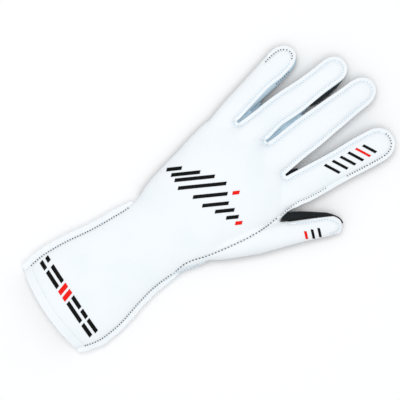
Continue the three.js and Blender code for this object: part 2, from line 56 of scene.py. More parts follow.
# Sizes, in millimetres, in a frame with the hem's centre at the origin, the fingers along +Y, the
# thumb on the +X side and the surface that the glove lies on at z = 0.
CUFF_LENGTH = 95.0
PALM_LENGTH = 105.0
HEM_WIDTH = 74.0
WRIST_WIDTH = 61.0
KNUCKLE_WIDTH = 96.0
CUFF_HEIGHT = 19.0
WRIST_HEIGHT = 19.5
PALM_HEIGHT = 24.5
FINGER_HEIGHT = 15.5
THUMB_HEIGHT = 17.0
FLAT_DEPTH = 0.25
HEM_BOW = 3.5
KNUCKLE_BOW = 13.0
CUFF_SEAM = 8.0
HAND_SEAM = 5.5
FOURCHETTE_TOP = 10.5
PALM_REST = 1.2
CUFF_REST = 0.25
ELASTIC_LENGTH = 14.0
HEM_FOLD = 6.5
# First capsule on the palm, as shares of the knuckle width and the palm length
CAPSULE_PLACE = (-0.05, 0.79)

# Body from hem to knuckles: zone, share along it, pinky side, thumb side, top, arch
BODY_SECTIONS = [
    ("cuff", 0.0, 0.462, 0.462, 0.86, -1.0),
    ("cuff", 0.16, 0.497, 0.527, 0.95, -0.7),
    ("cuff", 0.37, 0.487, 0.513, 1.0, -0.3),
    ("cuff", 0.58, 0.448, 0.446, 1.0, -0.1),
    ("cuff", 0.76, 0.428, 0.398, 0.98, 0.0),
    ("wrist", 0.0, 0.515, 0.475, 1.0, 0.0),
    ("hand", 0.13, 0.378, 0.335, 0.88, 0.0),
    ("hand", 0.28, 0.425, 0.372, 0.98, 0.1),
    ("hand", 0.46, 0.468, 0.39, 1.0, 0.35),
    ("hand", 0.62, 0.506, 0.402, 0.94, 0.65),
    ("hand", 0.74, 0.525, 0.4, 0.83, 0.9),
    ("hand", 0.82, 0.49, 0.37, 0.68, 1.0),
    ("hand", 0.86, 0.44, 0.32, 0.48, 1.0),
]
ZONES = {
    "cuff": (0.0, CUFF_LENGTH, HEM_WIDTH, CUFF_HEIGHT, 0.0, HEM_BOW),
    "wrist": (CUFF_LENGTH, 0.0, WRIST_WIDTH, WRIST_HEIGHT, 0.5 * PALM_REST, 0.0),
    "hand": (CUFF_LENGTH, PALM_LENGTH, KNUCKLE_WIDTH, PALM_HEIGHT, PALM_REST, KNUCKLE_BOW),
}

# Fingers: root across, as a share of the knuckle width, root along and length, as shares of the
# palm length, lean in degrees, width in millimetres
FINGERS = {
    "pinky": (-0.429, 0.66, 0.86, -11.5, 21.5),
    "ring": (-0.259, 0.72, 1.035, -3.2, 23.0),
    "middle": (0.013, 0.7, 1.139, -3.8, 26.0),
    "index": (0.247, 0.68, 1.067, 5.2, 24.8),
    "thumb": (0.239, 0.13, 1.072, 22.2, 23.5),
}
# Outline of a finger: share of its length, width and height as shares of its own
ROOT_SHAPE = [(0.0, 0.6, 1.0), (0.14, 0.86, 1.2), (0.26, 0.98, 1.18), (0.38, 0.99, 1.07)]
FINGER_SHAPES = {
    "ring": ROOT_SHAPE + [
        (0.5, 0.97, 1.0), (0.57, 0.93, 1.0), (0.67, 0.85, 0.98), (0.77, 0.83, 0.97), (0.87, 0.85, 0.96),
        (1.0, 0.84, 0.9),
    ],
    "middle": ROOT_SHAPE + [
        (0.52, 0.965, 1.0), (0.62, 0.9, 0.98), (0.72, 0.86, 0.97), (0.82, 0.81, 0.97), (1.0, 0.79, 0.9),
    ],
    "pinky": [
        (0.0, 0.5, 0.8), (0.15, 0.7, 1.0), (0.28, 0.81, 1.1), (0.45, 0.84, 1.0),
        (0.68, 0.94, 0.95), (0.78, 0.99, 0.94), (0.85, 0.97, 0.93), (1.0, 0.87, 0.86),
    ],
    "index": [
        (0.0, 0.5, 0.8), (0.15, 0.8, 1.06), (0.28, 0.96, 1.12), (0.4, 0.99, 1.04),
        (0.58, 0.95, 1.0), (0.82, 0.98, 0.97), (1.0, 0.92, 0.9),
    ],
    "thumb": [
        (0.0, 0.45, 0.9), (0.2, 0.78, 1.12), (0.4, 0.905, 1.14), (0.56, 0.82, 1.05), (0.7, 0.7, 0.95),
        (0.82, 0.685, 0.89), (0.92, 0.69, 0.86), (1.0, 0.67, 0.84),
    ],
}

# Thumb seam against the back, as shares of the knuckle width and the palm length
THUMB_SEAM = [
    (0.27, 0.03), (0.3, 0.17), (0.335, 0.3), (0.36, 0.43), (0.378, 0.58), (0.395, 0.74),
    (0.435, 0.86), (0.5, 1.05), (0.6, 1.3),
]
# Gusset border on the thumb: share of its length, offset in half widths
GUSSET_BORDER = [(0.58, -1.3), (0.66, -0.7), (0.8, -0.62), (0.92, -0.52), (1.02, -0.4)]

# Deepest point of each crotch, between index, middle, ring and pinky
CROTCHES = [(13.8, 198.0), (-14.6, 200.8), (-38.1, 190.7)]
# Cloth that joins the ring and the middle finger at their crotch: its middle and half its size
CROTCH_FILL = Vector((-14.3, 194.6, 7.4))
CROTCH_FILL_REACH = Vector((4.5, 5.5, 4.0))
# How far the back's edge draws in and shows the side wall, by finger and side (1 is the thumb's
# side): share of the finger's length, millimetres
SIDE_DRAW = {
    ("pinky", 1): [
        (0.3, 1.2), (0.45, 2.0), (0.54, 2.7), (0.62, 3.4), (0.7, 3.2), (0.78, 2.6), (0.84, 2.4),
        (0.92, 2.2), (1.0, 1.7)],
    ("ring", -1): [(0.3, 1.2), (0.42, 0.5), (0.6, 0.2), (1.0, 0.0)],
    ("ring", 1): [
        (0.3, 2.0), (0.42, 2.4), (0.5, 1.7), (0.57, 0.8), (0.67, 0.2), (0.77, 0.6), (0.87, 0.75),
        (1.0, 0.2)],
    ("middle", -1): [(0.3, 1.0), (0.45, 0.5), (0.6, 0.0), (1.0, 0.0)],
    ("middle", 1): [(0.3, 0.6), (0.45, 0.3), (0.6, 0.0), (1.0, 0.0)],
    ("index", -1): [(0.3, 0.9), (0.45, 0.9), (0.6, 0.5), (0.75, 0.0), (1.0, 0.0)],
}
# Stitches on the thumb, from its crotch round its tip, and how far its white cloth reaches past
# them
THUMB_STITCHES = [
    (44.5, 180.0, 1.0), (47.6, 185.2, 1.0), (51.2, 191.4, 1.2), (54.6, 198.5, 1.0), (57.4, 204.6, 0.8),
    (60.2, 207.2, 1.0), (63.4, 209.2, 1.3), (66.6, 209.6, 1.8), (69.0, 207.0, 2.2), (69.0, 203.6, 1.9),
    (68.0, 201.0, 1.6),
]
# Black gusset beside it: outer edge, inner edge, height of its middle
GUSSET_STRIP = [
    (36.6, 180.4, 39.0, 176.0, 7.2), (37.6, 184.8, 44.2, 182.2, 7.6), (41.3, 191.2, 47.8, 188.2, 7.6),
    (45.6, 197.2, 50.8, 194.8, 7.8), (49.9, 203.0, 53.8, 200.4, 8.0), (53.3, 207.4, 56.2, 204.6, 8.6),
    (56.9, 210.4, 59.2, 208.0, 9.2), (60.9, 212.9, 62.4, 210.2, 9.2), (64.4, 213.6, 65.2, 211.4, 8.8),
    (66.6, 213.0, 66.8, 211.6, 8.2),
]
# Start of the back's stitches, up the seam between the back and the thumb
THUMB_SEAM_STITCHES = [
    (28.2, 88.6), (27.2, 94.8), (26.8, 100.6), (27.9, 107.4), (30.2, 114.8), (32.5, 125.0),
    (34.6, 137.0), (36.4, 150.0), (37.0, 162.0), (36.4, 174.0),
]
# Fingers that the back's stitches and the palm's rim run round: share where they start on the
# thumb's side, and where they end on the other
BACK_RUNS = [("index", 0.24, 0.43), ("middle", 0.4, 0.39), ("ring", 0.4, 0.33)]
RIM_RUNS = [("index", 0.22, 0.44), ("middle", 0.42, 0.41), ("ring", 0.42, 0.35)]
RIM_INSET = 1.7


def shift_to_row():
    """Way from the sizes' frame to the row's frame, read off one capsule that both know."""
    low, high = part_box("capsule_inner")
    x = 500.0 * (low[0] + high[0]) - CAPSULE_PLACE[0] * KNUCKLE_WIDTH
    y = 500.0 * (low[1] + high[1]) - CUFF_LENGTH - CAPSULE_PLACE[1] * PALM_LENGTH
    return Vector((x, y, 0.0))


SHIFT = shift_to_row()


def to_row(x, y, z):
    """A place in millimetres of the sizes' frame as metres of the row's frame."""
    return Vector((x + SHIFT.x, y + SHIFT.y, z)) * 0.001


# Curves and sections

def read_table(rows, along, column):
    """Reads a column at a place along a table, on a smooth curve through its rows."""
    last = len(rows) - 1
    row = 0
    while row < last - 1 and rows[row + 1][0] < along:
        row += 1

    def slope(index):
        before = rows[max(index - 1, 0)]
        after = rows[min(index + 1, last)]
        return (after[column] - before[column]) / (after[0] - before[0])

    start = rows[row]
    end = rows[row + 1]
    span = end[0] - start[0]
    t = min(max((along - start[0]) / span, 0.0), 1.0)
    ease = t * t * (3.0 - 2.0 * t)
    pull = t * (1.0 - t) ** 2 * slope(row) - t * t * (1.0 - t) * slope(row + 1)
    return start[column] + ease * (end[column] - start[column]) + span * pull


def body_table():
    """Body sections in millimetres: along, pinky side, thumb side, top, rest, arch."""
    rows = []
    for zone, along, pinky, thumb, top, bow in BODY_SECTIONS:
        start, length, width, height, rest, arch = ZONES[zone]
        rows.append((start + along * length, pinky * width, thumb * width, top * height, rest, bow * arch))
    return rows


BODY = body_table()
BODY_END = BODY[-1][0]


def section(centre, across, left, right, top, rest, level, sides, bow):
    """One ring: domed above its side level, flat below it."""
    ring = []
    for i in range(sides):
        angle = 2.0 * math.pi * i / sides
        cosine = math.cos(angle)
        sine = math.sin(angle)
        upward = sine >= 0.0
        roundness = 2.0 / 2.35 if upward else 2.0 / 4.2
        half = right if cosine >= 0.0 else left
        rise = top - level if upward else level - rest + FLAT_DEPTH
        sideways = half * math.copysign(abs(cosine) ** roundness, cosine)
        z = level + rise * math.copysign(abs(sine) ** roundness, sine)
        share = sideways / max(left, right)
        ring.append(Vector((
            centre[0] + across[0] * sideways,
            centre[1] + across[1] * sideways + bow * (1.0 - share * share),
            max(z, rest),
        )))
    return ring


def place_of(name):
    """A finger's root, its directions along and across, its length and its width."""
    root_x, root_y, length, lean, width = FINGERS[name]
    turn = math.radians(lean)
    root = Vector((root_x * KNUCKLE_WIDTH, CUFF_LENGTH + root_y * PALM_LENGTH))
    along = Vector((math.sin(turn), math.cos(turn)))
    across = Vector((math.cos(turn), -math.sin(turn)))
    return root, along, across, length * PALM_LENGTH, width


def half_width(name, share):
    """Half a finger's width at a share of its length."""
    return 0.5 * FINGERS[name][4] * read_table(FINGER_SHAPES[name], share, 1)


def beside(name, share, offset):
    """Point beside a finger's middle line: share of its length, offset in half widths."""
    root, along, across, length, width = place_of(name)
    point = root + along * (share * length) + across * (0.5 * offset * width)
    return point.x, point.y


def from_tip(name, back, offset):
    """Point on a finger: millimetres back from its tip, and across it."""
    root, along, across, length, _ = place_of(name)
    point = root + along * (length - back) + across * offset
    return point.x, point.y


def body_rings(sides, overrun):
    """Rings of the cuff and the hand, starting some millimetres before the hem."""
    rings = []
    for along in np.linspace(0.0, BODY_END, 66):
        left, right, top, rest, bow = [read_table(BODY, along, column) for column in range(1, 6)]
        rings.append(section(
            (0.0, along), (1.0, 0.0), left, right, top, rest, CUFF_SEAM, sides, max(bow, 0.0)))
    start = [point.copy() for point in rings[0]]
    for point in start:
        point.y -= overrun
    return [start] + rings


def finger_rings(name, sides):
    """Rings of a finger or the thumb, closing to a round tip."""
    root, along, across, length, width = place_of(name)
    height = THUMB_HEIGHT if name == "thumb" else FINGER_HEIGHT
    shape = FINGER_SHAPES[name]
    level = 0.5 * (HAND_SEAM + FOURCHETTE_TOP)
    tip_length = 0.5 * width
    straight = length - tip_length
    stations = [(place, 0.0) for place in np.linspace(0.0, straight, 34)]
    for step in range(1, 11):
        turn = 0.485 * math.pi * step / 10
        stations.append((straight + tip_length * math.sin(turn), turn))
    rings = []
    for place, turn in stations:
        close = math.cos(turn) ** 0.9
        share = place / length
        half = max(0.5 * width * read_table(shape, share, 1) * close, 0.6)
        full = height * read_table(shape, share, 2)
        tip_top = level + (full - level) * (0.3 + 0.7 * close)
        centre = root + along * place
        rest = PALM_REST + (1.0 - close) * 0.35 * (level - PALM_REST)
        rings.append(section(
            (centre.x, centre.y), (across.x, across.y), half, half,
            max(tip_top, level + 0.6), rest, level, sides, 0.0))
    return rings


# Meshes

# Cell of the grids under pads and prints, and how far a print lies over the cloth, in millimetres
CELL = 0.7
PRINT_LIFT = 0.08


def add_grid(bm, columns, rows):
    """Adds a flat grid, and gives its points with their shares across and along it."""
    made = bmesh.ops.create_grid(bm, x_segments=columns, y_segments=rows, size=1.0)
    return [(vert, 0.5 * (vert.co.x + 1.0), 0.5 * (vert.co.y + 1.0)) for vert in made["verts"]]


def tube(bm, rings):
    """A grid wrapped round rings of equal count, welded along its seam and closed at both ends."""
    sides = len(rings[0])
    last = len(rings) - 1
    verts = []
    for vert, across, along in add_grid(bm, sides, last):
        vert.co = rings[round(along * last)][round(across * sides) % sides]
        verts.append(vert)
    bmesh.ops.remove_doubles(bm, verts=verts, dist=1e-4)
    alive = [vert for vert in verts if vert.is_valid]
    edges = {edge for vert in alive for edge in vert.link_edges if edge.is_boundary}
    bmesh.ops.holes_fill(bm, edges=list(edges), sides=0)


def oval(centre, side, rise, count):
    """Places round a centre, with half the width as a level vector and half the height."""
    turns = [2.0 * math.pi * k / count for k in range(count)]
    return [
        centre + side * math.cos(turn) + Vector((0.0, 0.0, rise * math.sin(turn))) for turn in turns]


def mesh_object(name, bm, smooth=True):
    """Turns a mesh in millimetres of the sizes' frame into an object of the row's frame."""
    for vert in bm.verts:
        vert.co = to_row(*vert.co)
    mesh = bpy.data.meshes.new(name)
    bm.to_mesh(mesh)
    bm.free()
    mesh.polygons.foreach_set("use_smooth", [smooth] * len(mesh.polygons))
    obj = bpy.data.objects.new(name, mesh)
    bpy.context.scene.collection.objects.link(obj)
    return obj


# Every material by its look
MATERIALS = {}


def finish_piece(obj, look, nodes):
    """Gives a piece its material, body and replaced nodes."""
    obj.data.materials.append(MATERIALS[look])
    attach(obj, "root")
    if nodes:
        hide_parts(*nodes)


def solid_object(name, bm, look, nodes):
    """Turns closed shapes into a piece, with their faces outwards."""
    bmesh.ops.recalc_face_normals(bm, faces=bm.faces)
    finish_piece(mesh_object(name, bm), look, nodes)


def add_thickness(obj, millimetres, offset=-1.0):
    """Gives a surface a thickness, inwards unless the offset says otherwise."""
    solid = obj.modifiers.new("thickness", "SOLIDIFY")
    solid.thickness = 0.001 * millimetres
    solid.offset = offset


def round_edges(obj, millimetres):
    """Rounds a piece's sharp edges."""
    bevel = obj.modifiers.new("round", "BEVEL")
    bevel.width = 0.001 * millimetres
    bevel.segments = 2
    bevel.limit_method = "ANGLE"
    bevel.angle_limit = math.radians(50.0)


def turn_faces_down(bm):
    """Makes every face of a nearly flat mesh point down."""
    for face in bm.faces:
        face.normal_update()
        if face.normal.z > 0.0:
            face.normal_flip()


def voxel_skin(voxel):
    """The glove's whole outer skin: lofts for the body, fingers and thumb, merged by a remesh."""
    bm = bmesh.new()
    tube(bm, body_rings(96, 14.0))
    for name in FINGERS:
        tube(bm, finger_rings(name, 48))
    made = bmesh.ops.create_uvsphere(bm, u_segments=16, v_segments=10, radius=1.0)
    for vert in made["verts"]:
        vert.co = CROTCH_FILL + CROTCH_FILL_REACH * vert.co
    bmesh.ops.recalc_face_normals(bm, faces=bm.faces)
    raw = mesh_object("skin_raw", bm)
    remesh = raw.modifiers.new("remesh", "REMESH")
    remesh.mode = "VOXEL"
    remesh.voxel_size = 0.001 * voxel
    graph = bpy.context.evaluated_depsgraph_get()
    mesh = bpy.data.meshes.new_from_object(raw.evaluated_get(graph))
    skin = bmesh.new()
    skin.from_mesh(mesh)
    bpy.data.meshes.remove(mesh)
    bpy.data.objects.remove(raw)
    for vert in skin.verts:
        vert.co = vert.co * 1000.0 - SHIFT
    return skin


def relax(bm, rounds):
    """Smooths away the steps that the remesh leaves."""
    for _ in range(rounds):
        bmesh.ops.smooth_vert(
            bm, verts=bm.verts, factor=0.5, use_axis_x=True, use_axis_y=True, use_axis_z=True)


def cut(bm, point, normal, chosen, clear_outer=False):
    """Cuts the chosen faces along a plane."""
    faces = [face for face in bm.faces if chosen(face.calc_center_median())]
    edges = {edge for face in faces for edge in face.edges}
    verts = {vert for face in faces for vert in face.verts}
    bmesh.ops.bisect_plane(
        bm, geom=list(verts) + list(edges) + faces, dist=1e-3, plane_co=point, plane_no=normal,
        clear_outer=clear_outer)


# Stitch paths

def smooth_path(points, step):
    """A smooth curve through points, read off at even steps."""
    pts = [Vector((*point, 0.0)) for point in points]
    pts = [2 * pts[0] - pts[1]] + pts + [2 * pts[-1] - pts[-2]]
    dense = []
    for i in range(1, len(pts) - 2):
        a, b, c, d = pts[i - 1:i + 3]
        count = max(2, int((c - b).length / 0.25))
        for k in range(count):
            t = k / count
            dense.append(0.5 * (
                2 * b + (c - a) * t + (2 * a - 5 * b + 4 * c - d) * t * t
                + (3 * b - a - 3 * c + d) * t ** 3))
    dense.append(pts[-2])
    path = [dense[0]]
    left = step
    for a, b in zip(dense, dense[1:]):
        length = (b - a).length
        while length > 0.0 and left <= length:
            a = a + (b - a) * (left / length)
            length = (b - a).length
            path.append(a)
            left = step
        left -= length
    return path


def edge_draw(name, side, share, drawn):
    """How far the back's edge draws in at a share of a finger's length."""
    rows = SIDE_DRAW.get((name, side))
    if rows is None or not drawn:
        return 0.0
    shares, depths = zip(*rows)
    return float(np.interp(share, shares, depths))


def finger_side(name, side, inset, start, end, count=9, drawn=True):
    """Points along one side of a finger, an inset in from its outline."""
    root, along, across, length, _ = place_of(name)
    points = []
    for share in np.linspace(start, end, count):
        reach = half_width(name, share) - inset - edge_draw(name, side, share, drawn)
        point = root + along * (share * length) + across * (side * reach)
        points.append((point.x, point.y))
    return points


def finger_tip(name, side, inset, drawn=True):
    """Points round a fingertip from one side to the other."""
    root, along, across, length, width = place_of(name)
    tip = 0.5 * width
    points = []
    for angle in np.linspace(0.03, math.pi - 0.03, 9):
        share = (length - tip + tip * math.sin(angle)) / length
        close = abs(math.cos(angle)) ** 0.9
        facing = side if math.cos(angle) > 0.0 else -side
        draw = edge_draw(name, facing, share, drawn)
        reach = (half_width(name, share) - inset - draw) * math.copysign(close, math.cos(angle))
        place = length - tip + (tip - inset) * math.sin(angle)
        point = root + along * place + across * (side * reach)
        points.append((point.x, point.y))
    return points


def crotch_turn(crotch):
    """Five points round a crotch between two fingers."""
    turn = [(4.0, 2.5), (3.3, -1.6), (0.2, -3.6), (-3.0, -1.6), (-3.8, 2.5)]
    return [(crotch[0] + x, crotch[1] + y) for x, y in turn]


def finger_runs(runs, inset, bends, drawn):
    """Points round each finger and through the crotch after it, from the index finger on."""
    points = []
    for (name, start, end), crotch in zip(runs, CROTCHES):
        points += finger_side(name, 1, inset, start, 0.88, drawn=drawn)
        points += finger_tip(name, 1, inset, drawn)
        points += finger_side(name, -1, inset, 0.88, end, drawn=drawn)
        points += crotch_turn(crotch)[bends]
    return points


def back_path(inset):
    """The back's stitched edge: thumb seam, index tip, the crotches and round to the pinky's tip."""
    points = THUMB_SEAM_STITCHES + finger_runs(BACK_RUNS, inset, slice(0, 5), True)
    points += finger_side("pinky", 1, inset, 0.4, 0.86, 12) + finger_tip("pinky", 1, inset)
    return points + finger_side("pinky", -1, inset, 0.86, 0.76, 3)


def rim_path():
    """The dark rim round the finger palms, from the index finger to the pinky's outer side."""
    points = finger_runs(RIM_RUNS, RIM_INSET, slice(1, 4), False)
    points += finger_side("pinky", 1, RIM_INSET, 0.42, 0.86, drawn=False)
    points += finger_tip("pinky", 1, RIM_INSET, False)
    return points + finger_side("pinky", -1, RIM_INSET, 0.86, 0.2, drawn=False)


def thumb_rim_path():
    """The same round the thumb."""
    points = finger_side("thumb", -1, RIM_INSET, 0.5, 0.86, drawn=False)
    points += finger_tip("thumb", -1, RIM_INSET, False)
    return points + finger_side("thumb", 1, RIM_INSET, 0.86, 0.42, drawn=False)


def cuff_side_path(side):
    """Points up one side of the cuff, from the hem to the wrist."""
    column = 2 if side > 0 else 1
    return [
        (side * (read_table(BODY, along, column) - 0.4), along)
        for along in np.linspace(0.6, 0.99 * CUFF_LENGTH, 12)]


def outward_at(path, i):
    """Level direction across a path at one of its points, to the right of its way."""
    along = (path[min(i + 1, len(path) - 1)] - path[max(i - 1, 0)]).normalized()
    return Vector((along.y, -along.x, 0.0))


def offset_path(path, amount):
    """A path beside another."""
    return [point + outward_at(path, i) * amount for i, point in enumerate(path)]


def evened(heights, rounds):
    """Heights averaged with their neighbours."""
    last = len(heights) - 1
    for _ in range(rounds):
        heights = [
            (heights[max(i - 1, 0)] + heights[i] + heights[min(i + 1, last)]) / 3
            for i in range(len(heights))]
    return heights


def first_beyond(path, y):
    """Number of a path's first point that lies further along the glove than y."""
    return next(i for i, point in enumerate(path) if point.y > y)


def tree_of(path):
    """A path's points, ready for finding the nearest one."""
    tree = kdtree.KDTree(len(path))
    for i, point in enumerate(path):
        tree.insert((point.x, point.y, 0.0), i)
    tree.balance()
    return tree


# Colours and materials

def linear(hex_colour):
    """An sRGB hex colour as linear numbers."""
    channels = []
    for i in (1, 3, 5):
        value = int(hex_colour[i:i + 2], 16) / 255.0
        channels.append(value / 12.92 if value <= 0.04045 else ((value + 0.055) / 1.055) ** 2.4)
    return (*channels, 1.0)


def add_node(tree, kind, settings=None, inputs=None, links=None):
    """Adds a node with its settings, socket values and the sockets that feed it."""
    node = tree.nodes.new(kind)
    for key, value in (settings or {}).items():
        setattr(node, key, value)
    for key, value in (inputs or {}).items():
        node.inputs[key].default_value = value
    for key, socket in (links or {}).items():
        tree.links.new(socket, node.inputs[key])
    return node


def new_material(name):
    """An empty material: itself, its nodes, its shader and the place on the object."""
    material = bpy.data.materials.new(name)
    material.use_nodes = True
    tree = material.node_tree
    tree.nodes.clear()
    output = add_node(tree, "ShaderNodeOutputMaterial")
    shader = add_node(tree, "ShaderNodeBsdfPrincipled")
    tree.links.new(shader.outputs["BSDF"], output.inputs["Surface"])
    place = add_node(tree, "ShaderNodeTexCoord")
    return material, tree, shader, place.outputs["Object"]


# Sizes that the patterns have on the object, in millimetres
TONE_MM = 25.0
BLOTCH_MM = 3.85
GRAIN_MM = 0.455
DENT_MM = 2.0


def cloth_material(name, colour, shade, roughness, sheen, weave_mm, relief):
    """Knitted cloth: fine rows of stitches, a slow change of tone and no gloss."""
    material, tree, shader, place = new_material(name)
    tone = add_node(
        tree, "ShaderNodeTexNoise", inputs={"Scale": 1000.0 / TONE_MM, "Detail": 2.0},
        links={"Vector": place})
    mix = add_node(
        tree, "ShaderNodeMix", {"data_type": "RGBA"}, {6: colour, 7: shade}, {0: tone.outputs["Fac"]})
    tree.links.new(mix.outputs[2], shader.inputs["Base Color"])
    # A band repeats after 2 pi / (20 * scale) metres. The rows are drawn twice as wide as the
    # real ones, because those are finer than a point of the picture.
    scale = 1000.0 / (weave_mm * 20.0) * 6.2832 / 2.0
    bands = []
    for direction in ("X", "Y"):
        wave = add_node(
            tree, "ShaderNodeTexWave", {"wave_type": "BANDS", "bands_direction": direction},
            {"Scale": scale, "Distortion": 1.2, "Detail": 1.0}, {"Vector": place})
        bands.append(wave.outputs["Fac"])
    knit = add_node(
        tree, "ShaderNodeMath", {"operation": "MULTIPLY"}, links={0: bands[0], 1: bands[1]})
    bump = add_node(
        tree, "ShaderNodeBump", inputs={"Strength": relief, "Distance": 0.0002},
        links={"Height": knit.outputs[0]})
    tree.links.new(bump.outputs["Normal"], shader.inputs["Normal"])
    shader.inputs["Roughness"].default_value = roughness
    shader.inputs["Sheen Weight"].default_value = sheen
    shader.inputs["Sheen Roughness"].default_value = 0.4
    shader.inputs["Specular IOR Level"].default_value = 0.25
    return material


def suede_material(name, colour, shade):
    """Synthetic suede: mottled nap, a fine grain and a soft sheen at the edges."""
    material, tree, shader, place = new_material(name)
    # Blotches of lighter and darker nap, as hands leave them
    nap = add_node(
        tree, "ShaderNodeTexNoise",
        inputs={"Scale": 1000.0 / BLOTCH_MM, "Detail": 6.0, "Roughness": 0.7}, links={"Vector": place})
    mix = add_node(
        tree, "ShaderNodeMix", {"data_type": "RGBA"}, {6: shade, 7: colour}, {0: nap.outputs["Fac"]})
    tree.links.new(mix.outputs[2], shader.inputs["Base Color"])
    # The real fibres are about 0.1 mm, too fine for the picture, so the grain is drawn coarser
    grain = add_node(
        tree, "ShaderNodeTexNoise", inputs={"Scale": 1000.0 / GRAIN_MM, "Detail": 3.0},
        links={"Vector": place})
    bump = add_node(
        tree, "ShaderNodeBump", inputs={"Strength": 0.35, "Distance": 0.00015},
        links={"Height": grain.outputs["Fac"]})
    tree.links.new(bump.outputs["Normal"], shader.inputs["Normal"])
    shader.inputs["Roughness"].default_value = 0.88
    shader.inputs["Sheen Weight"].default_value = 0.25
    shader.inputs["Sheen Roughness"].default_value = 0.5
    shader.inputs["Specular IOR Level"].default_value = 0.2
    return material


def rubber_material(name, colour, roughness, coat):
    """Printed silicone: smooth and faintly uneven, glossy as far as it has a coat."""
    material, tree, shader, place = new_material(name)
    # Shallow dents that break up the highlight
    uneven = add_node(
        tree, "ShaderNodeTexNoise", inputs={"Scale": 1000.0 / DENT_MM, "Detail": 2.0},
        links={"Vector": place})
    bump = add_node(
        tree, "ShaderNodeBump", inputs={"Strength": 0.12, "Distance": 0.0001},
        links={"Height": uneven.outputs["Fac"]})
    tree.links.new(bump.outputs["Normal"], shader.inputs["Normal"])
    shader.inputs["Base Color"].default_value = colour
    shader.inputs["Roughness"].default_value = roughness
    shader.inputs["Specular IOR Level"].default_value = 0.1 if coat == 0.0 else 0.5
    shader.inputs["Coat Weight"].default_value = coat
    shader.inputs["Coat Roughness"].default_value = 0.25
    return material


def plain_material(name, colour, roughness):
    """One even colour, for what is too small to show a pattern."""
    material, tree, shader, place = new_material(name)
    shader.inputs["Base Color"].default_value = colour
    shader.inputs["Roughness"].default_value = roughness
    shader.inputs["Specular IOR Level"].default_value = 0.3
    return material


def make_materials(settings):
    """Makes every material, each named for its finish."""
    # Matt cloth: white with a cool tinge in the shade, and hardly any shine
    MATERIALS["white"] = cloth_material(
        "white_stretch_cloth", (*settings.white, 1.0), linear("#eaf1f5"), 0.8, 0.1, 0.55, 0.25)
    # Thinner matt cloth of the side walls, painted pale blue-grey: painted shade of white cloth between the
    # fingers
    MATERIALS["side"] = cloth_material(
        "side_wall_cloth_painted_shade", linear("#c9dbe5"), linear("#b4cad7"), 0.85, 0.1, 0.6, 0.3)
    # Ribbed matt cloth: its gathers show as soft grey lines
    MATERIALS["elastic"] = cloth_material(
        "gathered_elastic", linear("#eef4f8"), linear("#dfe8ee"), 0.85, 0.1, 0.5, 0.3)
    # Napped suede: a flat slate grey that brightens a little at grazing angles
    MATERIALS["slate"] = suede_material("slate_suede", (*settings.slate, 1.0), linear("#3a434a"))
    # The same suede, darker, for the rims, which read as dark lines
    MATERIALS["rim"] = suede_material("dark_rim_suede", linear("#2a2f34"), linear("#202528"))
    # Black cloth whose sheen keeps it from turning into a hole
    MATERIALS["black_cloth"] = cloth_material(
        "black_stretch_cloth", linear("#111517"), linear("#1c2124"), 0.85, 0.15, 0.5, 0.3)
    # Silicone under a thin coat: soft, broad highlights, brightest on the black
    MATERIALS["black_grip"] = rubber_material("black_silicone", linear("#121414"), 0.36, 0.5)
    MATERIALS["red_grip"] = rubber_material("red_silicone", (*settings.red, 1.0), 0.38, 0.25)
    MATERIALS["white_grip"] = rubber_material("white_silicone", linear("#f2f5f7"), 0.42, 0.2)
    # Ink without a coat: flat, deep colour with no highlight
    MATERIALS["print_black"] = rubber_material("black_print", linear("#060707"), 0.6, 0.0)
    MATERIALS["print_red"] = rubber_material("red_print", linear("#f0160a"), 0.55, 0.0)
    # Polyester thread: satin dashes, one even colour each. The pale blue is painted shade on white thread
    MATERIALS["pale_thread"] = plain_material("thread_painted_blue_shade", linear("#b4cfdd"), 0.6)
    # Thread painted near black: painted shadow of the needle holes
    MATERIALS["thread_painted_shadow"] = plain_material("thread_painted_shadow", linear("#1c2833"), 0.6)
    MATERIALS["white_thread"] = plain_material("white_thread", linear("#dce7ee"), 0.6)
    # Perforations: flat discs painted near black, the painted shade inside the holes
    MATERIALS["hole"] = plain_material("hole_painted_shade", linear("#14181a"), 0.8)
    # Matt paper under the glove: pale enough to leave only its shadow
    MATERIALS["floor"] = plain_material("pale_floor", linear("#f9f9f9"), 0.9)


# Panels

SEAM_POINTS = [
    (across * KNUCKLE_WIDTH, CUFF_LENGTH + along * PALM_LENGTH) for across, along in THUMB_SEAM]
# Places where the side seam leaves the cuff's height and reaches the hand's
SLOPE_START = 0.97 * CUFF_LENGTH
SLOPE_END = CUFF_LENGTH + 0.15 * PALM_LENGTH


def seam_x(y):
    """Place of the seam between hand and thumb."""
    xs, ys = zip(*SEAM_POINTS)
    return float(np.interp(y, ys, xs))


def seam_height(y):
    """Height of the side seam."""
    return float(np.interp(y, [SLOPE_START, SLOPE_END], [CUFF_SEAM, HAND_SEAM]))


def side_of(a, b, point):
    """Above zero where a point lies to the left of the way from a to b."""
    return (b[0] - a[0]) * (point[1] - a[1]) - (b[1] - a[1]) * (point[0] - a[0])


def inside(outline, point):
    """Whether a point lies in a closed outline."""
    hit = False
    x, y = point
    for (x1, y1), (x2, y2) in zip(outline, outline[1:] + outline[:1]):
        if (y1 > y) != (y2 > y) and x < (x2 - x1) * (y - y1) / (y2 - y1) + x1:
            hit = not hit
    return hit


# Zones of the finger side walls, from the middle of one finger to the middle of the next
FOURCHETTES = {
    f"fourchette_{first}_{second}": [
        beside(first, 0.2, 0.1), beside(second, 0.2, -0.1), beside(second, 1.1, -0.1),
        beside(first, 1.1, 0.1)]
    for first, second in (("pinky", "ring"), ("ring", "middle"), ("middle", "index"))}
GUSSET_EDGE = [beside("thumb", share, offset) for share, offset in GUSSET_BORDER]
GUSSET_OUTLINE = GUSSET_EDGE + [beside("thumb", 1.02, -1.6), beside("thumb", 0.58, -1.6)]
